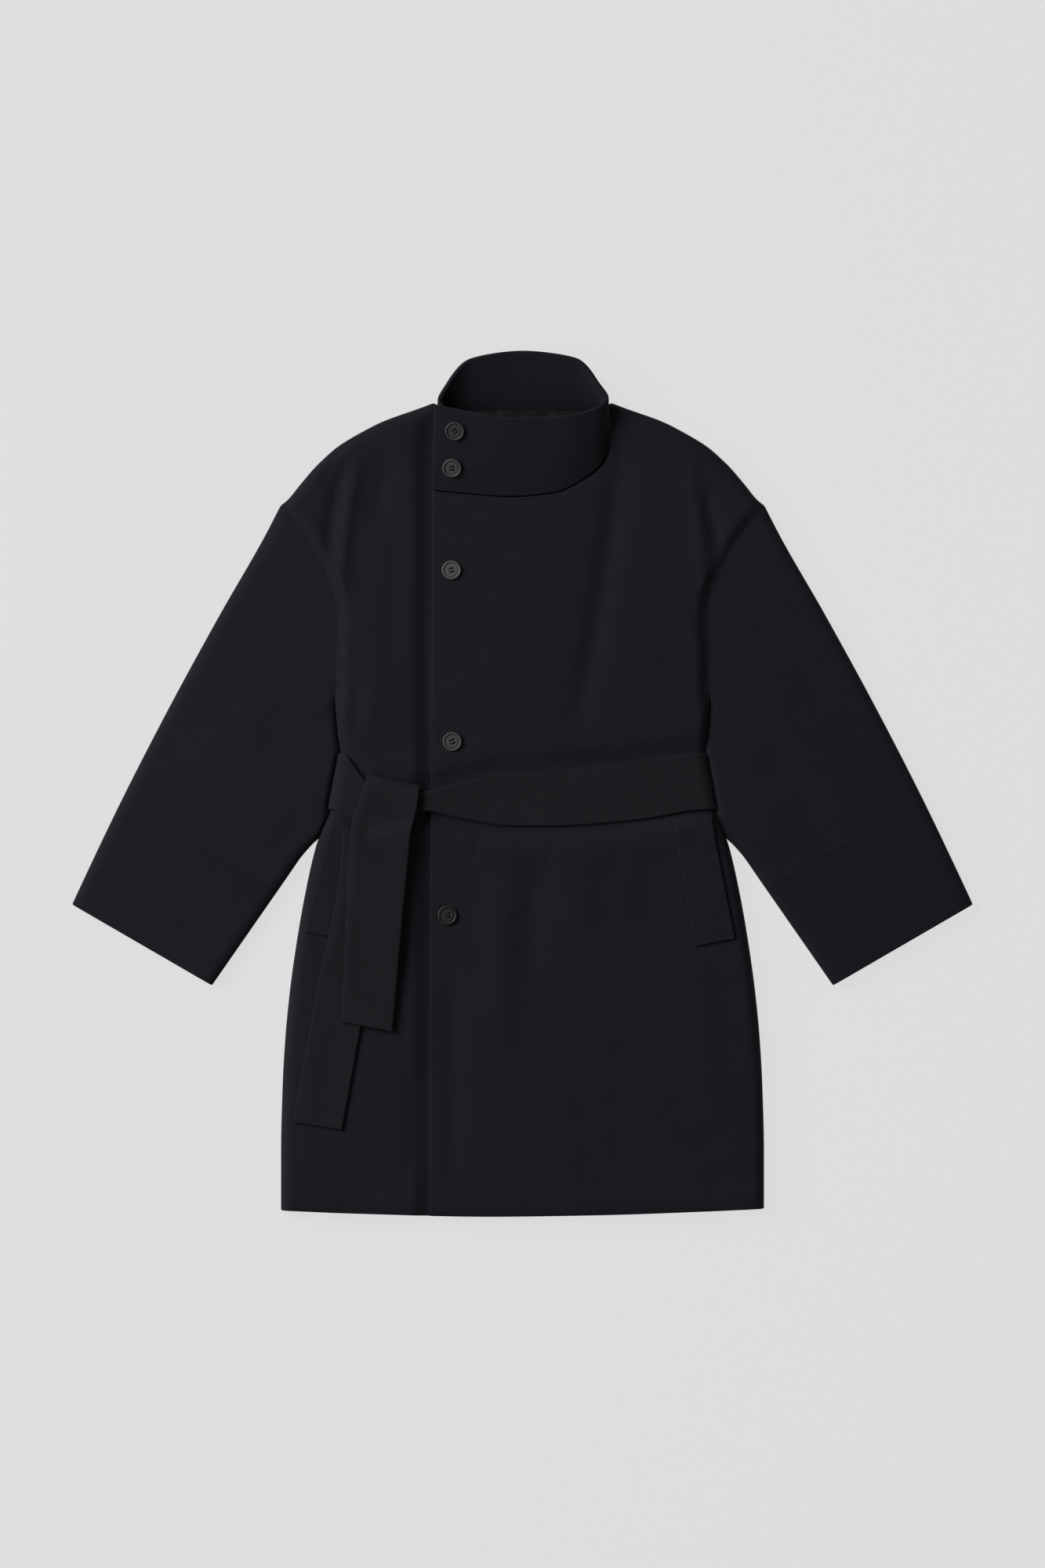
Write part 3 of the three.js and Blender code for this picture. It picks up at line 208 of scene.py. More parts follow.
# The smaller creases of the fronts, in the same columns
CREASES = (
    (-140, 300, -150, 120, 3, 10, -0.7),
    (-120, 250, -117, 30, 0, 9, -0.9),
    (-190, 120, -196, 42, -2, 7, -0.8),
    (20, 300, 52, 215, -4, 12, -0.5),
    (140, 380, 150, 250, 3, 12, 0.6),
    (168, 200, 178, 60, 3, 13, -0.7),
    (-62, 60, -70, 8, 2, 7, -0.7),
    (-30, 48, -24, 12, 0, 6, -0.6),
    (100, 60, 104, 26, 0, 6, -0.6),
    (150, 70, 152, 30, 0, 7, -0.5),
    (-52, -48, -56, -96, 0, 7, -0.8),
    (-2, -48, -4, -84, 0, 6, -0.7),
    (34, -50, 30, -120, 2, 7, -0.7),
    (110, -46, 108, -110, 0, 8, -0.7),
    (190, -190, 214, -380, -4, 16, 0.9),
    (120, -260, 116, -470, 4, 20, -0.8),
    (40, -300, 60, -476, 3, 18, 0.7),
    (-196, -60, -214, -190, 0, 9, -0.7),
    (-240, -250, -252, -470, -3, 12, 0.8),
    (-180, -400, -176, -486, 0, 12, -0.8),
)
HEM = Table(
    "x y",
    [(-277, -489), (-196, -492.3), (-38, -496), (80, -494.5), (200, -490.5), (277, -487)],
    "x",
)
OVER_EDGE = Table("y x", [(-500, -106.6), (0, -105), (340, -103)], "y")
TOP_OVER = Table(
    "at x y",
    [
        (0, -103, 335.5), (0.15, -56, 331), (0.285, -13, 328.3), (0.44, 36.5, 332.8),
        (0.555, 77, 352), (0.605, 95, 369.5), (0.635, 101.3, 392), (0.665, *NECK),
    ],
    "at",
)
TOP_UNDER = Table(
    "at x y",
    [
        (0.415, -NECK[0], NECK[1]), (0.44, -101.3, 392), (0.46, -95, 369.5), (0.53, -77, 352),
        (0.687, -36.5, 332.8), (0.846, 5, 328.3), (1, 45, 330),
    ],
    "at",
)
TOP_BACK = Table(
    "at x y",
    [
        (0.316, -NECK[0], NECK[1]), (0.36, -80, 430.6), (0.43, -40, 429.5), (0.5, 0, 429.5),
        (0.57, 40, 429.5), (0.64, 80, 430.6), (0.684, *NECK),
    ],
    "at",
)
SLEEVE_LENGTH = 515.0
SLEEVE_OUTER = Table(
    "reach x y",
    [
        (0, 516.5, -138), (13, 511, -126), (132, 459.5, -18), (254, 404, 90), (377, 345, 198),
        (470, 298.6, 279), (515, 277.6, 319.5),
    ],
    "reach",
)
ARMHOLE_END = (231.9, -58.0)
SLEEVE_INNER = Table(
    "reach x y",
    [(0, 356, -231), (140, 276, -116), (250, 253, -83), (SLEEVE_LENGTH, *ARMHOLE_END)],
    "reach",
)
SLEEVE_CROWN = Table(
    "reach top", [(0, 15.5), (20, 16.5), (140, 17.5), (300, 18), (515, 17)], "reach"
)
# How far a sleeve's upper and under pieces are pressed in beside the body
TOUCH = {"upper": 1.1, "under": 3.2}
# Distance between two stitched rows, their number, and how far the stitching sinks
CUFF_PITCH, CUFF_ROWS, CUFF_DEPTH = 3.1, 42, 0.65
COLLAR = Table(
    "seamX seamY seamZ rimX rimY rimZ",
    [
        (-103.2, 337.6, 17.8, -101, 433.5, 42), (-56, 332.8, 18, -57, 425, 44.5),
        (-13, 330.2, 18, -13, 418.5, 45.5), (36, 334.8, 18, 40, 420.5, 45.5),
        (74.3, 353.8, 17.5, 72, 426, 43.5), (91.2, 371.2, 16, 89, 433.5, 40),
        (97.8, 402, 12.5, 96, 443.5, 35), (91, 429.5, 8.6, 86, 459, 31),
        (62, 428.5, 3.6, 62, 487, 28), (0, 427.5, 3.1, 0, 495.7, 27),
        (-62, 428.5, 3.6, -61, 486, 28),
        (-91, 429.5, 8.6, -85.5, 458, 29.5), (-97, 402, 8.5, -94.5, 441, 30),
        (-90.5, 371, 11, -86, 429, 33), (-56, 342.5, 12, -54, 419, 36.5),
        (0, 330.2, 11.6, 0, 413, 37.3), (45, 332, 11.6, 45, 414, 37.3),
    ],
)
TAIL_OVER = Table(
    "leftX leftY rightX rightY lift",
    [
        (-178.6, 9, -118, -3.5, 3), (-178.8, 8.6, -118, -3.9, 8), (-179, 5, -118.2, -7.5, 12),
        (-181, -4, -119, -17, 13.6), (-187.5, -22, -122, -34, 12.6), (-195, -45, -127, -54, 11),
        (-198.5, -80, -131, -90, 9.2), (-201, -130, -136, -141, 8.8),
        (-202.5, -180, -140.5, -191, 8.4), (-205, -230, -145, -241, 5.4),
        (-207.5, -272, -149, -283.5, 4.4),
    ],
)
TAIL_UNDER = Table(
    "leftX leftY rightX rightY lift",
    [
        (-205.5, -49, -151, -54, 5.2), (-207, -80, -153, -83, 4.9), (-212, -122, -157, -130, 4.5),
        (-222.5, -176, -166, -187, 4.2), (-233, -225, -176.5, -235, 1.2),
        (-245, -290, -189, -300, 0.6), (-263, -387, -206.5, -396, 0.6),
    ],
)
WELT = Table(
    "outX outY inX inY",
    [
        (215, -34, 172.5, -40), (221, -64, 177.5, -71), (232, -120, 187, -128),
        (243.5, -177, 197.5, -186),
    ],
)
# Room under a welt, near the belt where the front bends in and then all along
WELT_CLEAR, WELT_LIFT = 1.9, 0.3
# Turn is how far the four holes are turned round, in degrees
BUTTONS = (
    ("collar", -77.0, 404.0, 35.0),
    ("collar", -80.5, 362.7, 4.0),
    ("front", -81.5, 244.8, 12.0),
    ("front", -80.5, 48.6, 20.0),
    ("front", -86.0, -150.3, 8.0),
)
SHOULDER_LENGTH = math.hypot(SHOULDER[0] - NECK[0], SHOULDER[1] - NECK[1])
SHOULDER_OUT = (
    (NECK[1] - SHOULDER[1]) / SHOULDER_LENGTH,
    (SHOULDER[0] - NECK[0]) / SHOULDER_LENGTH,
)
SHOULDER_BOW = Table(
    "along out",
    [
        (0, 0), (0.064, 3.1), (0.344, 16.6), (0.549, 19.6), (0.704, 15.5), (0.836, 8.2),
        (0.965, 0.5), (1, 0),
    ],
    "along",
)


def points(x: Any, y: Any, z: Any) -> Array:
    """Puts three arrays of coordinates together as one array of points."""
    return np.stack(np.broadcast_arrays(x, y, z), axis=-1).astype(float)


def body_half(y: Any) -> Array:
    """Half the body's width at a height."""
    return BODY.read("half", y)


def seam_share(y: Any) -> Array:
    """1 along the armhole seam and 0 along the side fold under it."""
    return ease((y - UNDERARM_Y) / UNDERARM_BLEND)


def side_gap(x: Any, y: Any) -> Array:
    """How far a point of the body is from its side."""
    return np.maximum(0.0, body_half(y) - np.abs(x))


def shoulder_along(x: Any, y: Any) -> Array:
    """Where a point is along the shoulder, from 0 at the neck to 1 at the armhole."""
    over = (np.abs(x) - NECK[0]) * SHOULDER_OUT[1] - (y - NECK[1]) * SHOULDER_OUT[0]
    return np.clip(over / SHOULDER_LENGTH, 0.0, 1.0)


def shoulder_gap(x: Any, y: Any) -> Array:
    """How far a point of the body is from the shoulder fold."""
    straight = (NECK[0] - np.abs(x)) * SHOULDER_OUT[0] + (NECK[1] - y) * SHOULDER_OUT[1]
    return np.maximum(0.0, straight + SHOULDER_BOW.read("out", shoulder_along(x, y)))


def shoulder_out(x: Any, y: Any) -> tuple[Array, Array]:
    """Which way is out of the shoulder fold, across its bow."""
    along = shoulder_along(x, y)
    rise = SHOULDER_BOW.read("out", along + 0.01) - SHOULDER_BOW.read("out", along - 0.01)
    slope = rise / (0.02 * SHOULDER_LENGTH)
    out_x = SHOULDER_OUT[0] - slope * SHOULDER_OUT[1]
    out_y = SHOULDER_OUT[1] + slope * SHOULDER_OUT[0]
    return out_x / np.hypot(out_x, out_y), out_y / np.hypot(out_x, out_y)


def fold_rise(x: Any, y: Any, folds: Sequence[Sequence[float]] = FOLDS) -> Array:
    """How far the folds of a table raise the cloth.

    Args:
        x: plan position.
        y: plan position.
        folds: rows of FOLD_COLUMNS, each a soft ridge, or a trough where its rise is negative.

    Returns:
        The rise at each point.
    """
    total = np.zeros(np.broadcast(x, y).shape)
    for x0, y0, x1, y1, bow, width, rise in folds:
        dx, dy = x1 - x0, y1 - y0
        length = math.hypot(dx, dy)
        along = np.clip(((x - x0) * dx + (y - y0) * dy) / length**2, 0.0, 1.0)
        across = ((x - x0) * dy - (y - y0) * dx) / length - bow * np.sin(np.pi * along)
        taper = ease(along / 0.3) * ease((1.0 - along) / 0.3)
        total = total + rise * taper * bell(across / width)
    return total


def belt_off(x: Any, y: Any) -> Array:
    """How far a point of the fronts is outside the belt's edges."""
    return np.abs(y - BELT_FRONT.read("y", x)) - BELT_FRONT.read("half", x)


def belted(x: Any, y: Any) -> Array:
    """1 under the belt and 0 where the front is free of it."""
    return 1.0 - ease((belt_off(x, y) - 3.5) / 19.0)


def belt_draw(x: Any, y: Any) -> Array:
    """How far the belt draws the front in, with the cloth rolled out above and below it."""
    return BELT_DIP * belted(x, y) - 1.2 * bell((belt_off(x, y) - 30.0) / 14.0)


def small_relief(x: Any, y: Any) -> Array:
    """The small creases, the pull round each front button and the roll of the turned-up hem."""
    relief = fold_rise(x, y, CREASES)
    for on, bx, by, _turn in BUTTONS:
        if on == "front":
            relief = relief - 0.8 * bell(np.hypot(x - bx, y - by) / 17.0)
    up = y - HEM.read("y", x)
    return relief + 0.9 * bell((up - 15.0) / 8.0) - 2.4 * (1.0 - arc(up / 8.0))


def coat_top(x: Any, y: Any, draw: Any = None) -> Array:
    """Outer height of the fronts, as if the over front ran right across."""
    draw = belt_draw(x, y) if draw is None else draw
    free = 1.0 - belted(x, y)
    flat = CROWN.read("top", y) - draw + (fold_rise(x, y) + small_relief(x, y)) * free
    turned = arc(shoulder_gap(x, y) / FOLD_R)
    opened = FOLD_Z + (flat - FOLD_Z) * turned
    seam = FOLD_Z + (ARMHOLE_TOP - FOLD_Z) * turned
    at_armhole = mix(seam, opened, ease(side_gap(x, y) / ARMHOLE_REACH))
    at_fold = FOLD_Z + (opened - FOLD_Z) * arc(side_gap(x, y) / FOLD_R)
    return mix(at_fold, at_armhole, seam_share(y)) + GAP / 2


def belt_seat(x: Any, y: Any) -> Array:
    """What the belt lies on, level with the front under its middle."""
    return coat_top(x, y, BELT_DIP)


def under_top(x: Any, y: Any) -> Array:
    """Outer height of the under front, which sinks below the over front."""
    overlapped = ease((x + 127.0) / 20.0) * ease(shoulder_gap(x, y) / 32.0)
    return coat_top(x, y) - overlapped * (OVERLAP_DROP + np.maximum(0.0, fold_rise(x, y)))


def coat_bottom(x: Any, y: Any) -> Array:
    """Outer height of the back: on the floor, lifted over the belt and turned up at the folds."""
    off = np.abs(y - BELT_BACK_Y) - BELT_BACK_HALF
    base = BELT_LIFT * (1.0 - ease((off - 1.0) / 19.0))
    fold = FOLD_Z - GAP / 2
    opened = fold - (fold - base) * arc(shoulder_gap(x, y) / FOLD_R)
    at_fold = fold - (fold - opened) * arc(side_gap(x, y) / FOLD_R)
    return mix(at_fold, opened, seam_share(y))


def no_longer_than_one(out: Array) -> Array:
    """Shortens directions that are longer than 1."""
    return out / np.maximum(1.0, np.linalg.norm(out, axis=-1, keepdims=True))


def outward(x: Any, y: Any) -> Array:
    """Outward direction of the top cloth: up on the flat and sideways at a fold."""
    share = seam_share(y)
    turn = np.maximum(0.0, 1.0 - side_gap(x, y) / FOLD_R) * (1.0 - share)
    shoulder = np.maximum(0.0, 1.0 - shoulder_gap(x, y) / FOLD_R)
    up = arc(shoulder_gap(x, y) / FOLD_R) * mix(arc(side_gap(x, y) / FOLD_R), 1.0, share)
    past_x, past_y = shoulder_out(x, y)
    sideways = np.sign(x) * (turn + shoulder * past_x)
    return no_longer_than_one(points(sideways, shoulder * past_y, up))


def on_top(x: Any, y: Any, off: Any, height: Callable[..., Array] = coat_top) -> Array:
    """Points at a distance off the fronts' outer side."""
    return points(x, y, height(x, y)) + outward(x, y) * np.asarray(off, float)[..., None]


def on_bottom(x: Any, y: Any, off: Any) -> Array:
    """Points at a distance off the back's outer side, downwards where it is flat."""
    out = outward(x, y) * np.asarray(off, float)[..., None]
    return points(x, y, coat_bottom(x, y)) + out * np.array([1.0, 1.0, -1.0])


def follow_belt(x: Any, y: Any) -> Array:
    """Moves rows of a front up or down so that they keep to the edges of the belt."""
    lower, upper = BELT_BACK_Y - BELT_BACK_HALF, BELT_BACK_Y + BELT_BACK_HALF
    middle, half = BELT_FRONT.read("y", x), BELT_FRONT.read("half", x)
    move_upper, move_lower = middle + half - upper, middle - half - lower
    above = y + move_upper * (1.0 - ease((y - upper) / 90.0))
    below = y + move_lower * (1.0 - ease((lower - y) / 90.0))
    inside = y + mix(move_lower, move_upper, (y - lower) / (upper - lower))
    return np.where(y > upper, above, np.where(y < lower, below, inside))


def to_linear(colour: str) -> tuple[float, float, float, float]:
    """Turns an sRGB hex colour to linear values.

    Args:
        colour: six hex digits.

    Returns:
        Red, green, blue and an alpha of 1.
    """
    parts = [int(colour[i : i + 2], 16) / 255 for i in (0, 2, 4)]
    red, green, blue = (p / 12.92 if p <= 0.04045 else ((p + 0.055) / 1.055) ** 2.4 for p in parts)
    return red, green, blue, 1.0


def add_node(
    material: bpy.types.Material,
    kind: str,
    settings: dict[str, Any] | None = None,
    inputs: dict[str, Any] | None = None,
) -> bpy.types.Node:
    """Adds one node to a material.

    Args:
        material: the material.
        kind: the node's type.
        settings: the node's own properties.
        inputs: sockets by name, each with a value or with another node's output to link.

    Returns:
        The new node.
    """
    tree = material.node_tree
    node = tree.nodes.new(kind)
    for name, value in (settings or {}).items():
        setattr(node, name, value)
    for name, value in (inputs or {}).items():
        socket = node.inputs[int(name)] if name.isdigit() else node.inputs[name]
        if isinstance(value, bpy.types.NodeSocket):
            tree.links.new(value, socket)
        else:
            socket.default_value = value
    return node


def new_material(name: str) -> bpy.types.Material:
    """Makes an empty node material with that name."""
    material = bpy.data.materials.new(name)
    material.use_nodes = True
    material.node_tree.nodes.clear()
    return material


def fill_ramp(node: bpy.types.Node, low: float, high: float) -> None:
    """Sets a colour ramp to run from black at low to white at high."""
    node.color_ramp.elements[0].position = low
    node.color_ramp.elements[1].position = high


@dataclass(frozen=True)
class WoolTwill:
    """Brushed wool twill: dark, matt, with a short nap that catches light at grazing angles.

    The diagonal of the weave is about 0.8 mm on the real cloth. It is drawn at 1.5 mm, as the
    finest that shows from a step away.
    """

    name: str
    slot: str
    dark: str
    light: str
    sheen: float = 0.05
    specular: float = 0.09
    twill: float = 1.5
    nap: float = 0.7

    def make(self) -> bpy.types.Material:
        """Makes the material on the piece's own UV map, which is in metres of cloth."""
        material = new_material(self.name)
        uv = add_node(material, "ShaderNodeTexCoord").outputs["UV"]
        place = add_node(material, "ShaderNodeTexCoord").outputs["Object"]
        twill = add_node(
            material,
            "ShaderNodeTexWave",
            {"wave_type": "BANDS", "bands_direction": "DIAGONAL", "wave_profile": "SIN"},
            {"Vector": uv, "Scale": 2 * math.pi / 10 / (self.twill * MM), "Distortion": 0.6,
             "Detail": 1.0, "Detail Scale": 1.5},
        )
        nap = add_node(
            material, "ShaderNodeTexNoise", None,
            {"Vector": uv, "Scale": 1 / (self.nap * MM), "Detail": 3.0, "Roughness": 0.7},
        )
        cloudy = add_node(
            material, "ShaderNodeTexNoise", None,
            {"Vector": place, "Scale": 1 / (26 * MM), "Detail": 4.0, "Roughness": 0.6},
        )
        soft = add_node(
            material, "ShaderNodeTexNoise", None,
            {"Vector": place, "Scale": 1 / (85 * MM), "Detail": 1.0, "Roughness": 0.4},
        )
        patches = add_node(material, "ShaderNodeValToRGB", None, {"Fac": cloudy.outputs["Fac"]})
        fill_ramp(patches, 0.1, 0.9)
        fibres = add_node(
            material, "ShaderNodeMix", {"data_type": "FLOAT"},
            {"Factor": 0.6, "A": patches.outputs["Color"], "B": nap.outputs["Fac"]},
        )
        colour = add_node(
            material, "ShaderNodeMix", {"data_type": "RGBA"},
            {"Factor": fibres.outputs[0], "6": to_linear(self.dark), "7": to_linear(self.light)},
        )
        height = add_node(
            material, "ShaderNodeMix", {"data_type": "FLOAT"},
            {"Factor": 0.55, "A": twill.outputs["Fac"], "B": nap.outputs["Fac"]},
        )
        weave = add_node(
            material, "ShaderNodeBump", None,
            {"Strength": 0.35, "Distance": 0.25 * MM, "Height": height.outputs[0]},
        )
        lie = add_node(
            material, "ShaderNodeBump", None,
            {"Strength": 0.5, "Distance": 2.2 * MM, "Height": soft.outputs["Fac"],
             "Normal": weave.outputs["Normal"]},
        )
        shader = add_node(
            material, "ShaderNodeBsdfPrincipled", None,
            {"Base Color": colour.outputs[2], "Roughness": 0.85, "IOR": 1.45,
             "Specular IOR Level": self.specular, "Sheen Weight": self.sheen,
             "Sheen Roughness": 0.45, "Sheen Tint": to_linear("b9b6c4"),
             "Normal": lie.outputs["Normal"]},
        )
        add_node(material, "ShaderNodeOutputMaterial", None, {"Surface": shader.outputs["BSDF"]})
        return material


@dataclass(frozen=True)
class Satin:
    """Acetate satin lining: smooth long floats. The streaks of light along its creases are painted
    highlights, a lighter base colour where the creases rise.
    """

    name: str
    slot: str
    colour: str
    # A lighter colour, painted as highlight where the creases rise
    light: str

    def make(self) -> bpy.types.Material:
        """Makes the material, with its creases across the strip and painted highlights along them.
        """
        material = new_material(self.name)
        uv = add_node(material, "ShaderNodeTexCoord").outputs["UV"]
        stretched = add_node(
            material, "ShaderNodeMapping", None, {"Vector": uv, "Scale": (1.0, 0.35, 1.0)}
        )
        creases = add_node(
            material, "ShaderNodeTexNoise", None,
            {"Vector": stretched.outputs["Vector"], "Scale": 1 / (15 * MM), "Detail": 2.0,
             "Distortion": 0.6},
        # Painted highlight: the base colour turns lighter where the crease noise rises
        )
        painted_highlight_streaks = add_node(material, "ShaderNodeValToRGB", None, {"Fac": creases.outputs["Fac"]})
        fill_ramp(painted_highlight_streaks, 0.38, 0.66)
        colour = add_node(
            material, "ShaderNodeMix", {"data_type": "RGBA"},
            {"Factor": painted_highlight_streaks.outputs["Color"], "6": to_linear(self.colour),
             "7": to_linear(self.light)},
        )
        bump = add_node(
            material, "ShaderNodeBump", None,
            {"Strength": 0.6, "Distance": 1.5 * MM, "Height": creases.outputs["Fac"]},
        )
        shader = add_node(
            material, "ShaderNodeBsdfPrincipled", None,
            {"Base Color": colour.outputs[2], "Roughness": 0.45, "Specular IOR Level": 0.2,
             "Normal": bump.outputs["Normal"]},
        )
        add_node(material, "ShaderNodeOutputMaterial", None, {"Surface": shader.outputs["BSDF"]})
        return material


@dataclass(frozen=True)
class MouldedResin:
    """Moulded resin, most likely polyester: faintly clouded dark grey with a satin polish."""

    name: str
    slot: str
    dark: str
    light: str
    roughness: float = 0.5

    def make(self) -> bpy.types.Material:
        """Makes the material, its clouds about 5 mm across and its tooling marks 0.6 mm."""
        material = new_material(self.name)
        place = add_node(material, "ShaderNodeTexCoord").outputs["Object"]
        clouds = add_node(
            material, "ShaderNodeTexNoise", None,
            {"Vector": place, "Scale": 1 / (5 * MM), "Detail": 4.0, "Distortion": 0.8},
        )
        colour = add_node(
            material, "ShaderNodeMix", {"data_type": "RGBA"},
            {"Factor": clouds.outputs["Fac"], "6": to_linear(self.dark),
             "7": to_linear(self.light)},
        )
        marks = add_node(
            material, "ShaderNodeTexNoise", None,
            {"Vector": place, "Scale": 1 / (0.6 * MM), "Detail": 2.0},
        )
        bump = add_node(
            material, "ShaderNodeBump", None,
            {"Strength": 0.12, "Distance": 0.05 * MM, "Height": marks.outputs["Fac"]},
        )
        shader = add_node(
            material, "ShaderNodeBsdfPrincipled", None,
            {"Base Color": colour.outputs[2], "Roughness": self.roughness, "IOR": 1.54,
             "Specular IOR Level": 0.3, "Normal": bump.outputs["Normal"]},
        )
        add_node(material, "ShaderNodeOutputMaterial", None, {"Surface": shader.outputs["BSDF"]})
        return material


@dataclass(frozen=True)
class SewingThread:
    """Spun polyester thread: dark, fuzzy, with a fine twist round it."""

    name: str
    slot: str
    colour: str
    twist: float = 0.5

    def make(self) -> bpy.types.Material:
        """Makes the material, with the twist as a fine bump and painted shade, near black, in its
        grooves.
        """
        material = new_material(self.name)
        place = add_node(material, "ShaderNodeTexCoord").outputs["Object"]
        ply = add_node(
            material, "ShaderNodeTexWave", {"bands_direction": "DIAGONAL"},
            {"Vector": place, "Scale": 2 * math.pi / 10 / (self.twist * MM), "Distortion": 1.0},
        )
        # Painted shade: the colour darkens to near black in the grooves of the twist
        twist_groove_shade = add_node(
            material, "ShaderNodeMix", {"data_type": "RGBA"},
            {"Factor": ply.outputs["Fac"], "6": to_linear("060607"), "7": to_linear(self.colour)},
        )
        bump = add_node(
            material, "ShaderNodeBump", None,
            {"Strength": 0.5, "Distance": 0.1 * MM, "Height": ply.outputs["Fac"]},
        )
        shader = add_node(
            material, "ShaderNodeBsdfPrincipled", None,
            {"Base Color": twist_groove_shade.outputs[2], "Roughness": 0.7, "Specular IOR Level": 0.2,
             "Normal": bump.outputs["Normal"]},
        )
        add_node(material, "ShaderNodeOutputMaterial", None, {"Surface": shader.outputs["BSDF"]})
        return material


Finish = WoolTwill | Satin | MouldedResin | SewingThread

COAT_CLOTH = WoolTwill("wool_twill_coat", "cloth", "151419", "1c1b21")
COLLAR_CLOTH = WoolTwill("wool_twill_collar", "cloth", "151419", "1c1b21")
BELT_CLOTH = WoolTwill("wool_twill_belt", "belt_cloth", "161519", "1d1c20")
# The satin's second colour is painted highlight along its creases
LINING_SATIN = Satin("satin_lining", "satin", "0b0a0a", "171414")
# The five buttons, from the collar down. Each is toned to the photo by itself, because the light
# on them differs there. The real ones are most likely all alike
BUTTON_RESINS = tuple(
    MouldedResin(f"moulded_button_resin_{number}", "moulded_button", dark, light)
    for number, (dark, light) in enumerate(
        (("262525", "2f2e2e"), ("343332", "3c3b3a"), ("403f3e", "494847"), ("343332", "3c3b3a"),
         ("171513", "1c1a17")), 1)
)
BUTTON_THREAD = SewingThread("button_thread", "cloth", "0c0c0e")
HOLE_THREAD = SewingThread("buttonhole_thread", "cloth", "222126", 0.6)


def dress(obj: bpy.types.Object, finish: Finish) -> bpy.types.Object:
    """Gives a piece its finish, smooth shading and its body.

    Args:
        obj: the piece, in place.
        finish: what it is made of.

    Returns:
        The same piece.
    """
    material = bpy.data.materials.get(finish.name) or finish.make()
    obj.data.materials.clear()
    obj.data.materials.append(material)
    obj.data.shade_smooth()
    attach(obj, "root")
    return obj


def new_object(name: str, bm: bmesh.types.BMesh) -> bpy.types.Object:
    """Turns a bmesh to an object at the origin."""
    mesh = bpy.data.meshes.new(name)
    bm.to_mesh(mesh)
    bm.free()
    obj = bpy.data.objects.new(name, mesh)
    bpy.context.scene.collection.objects.link(obj)
    return obj


def lengths(line: Array) -> Array:
    """The distance along a line of points, from its start."""
    return np.concatenate([[0.0], np.cumsum(np.linalg.norm(np.diff(line, axis=0), axis=1))])


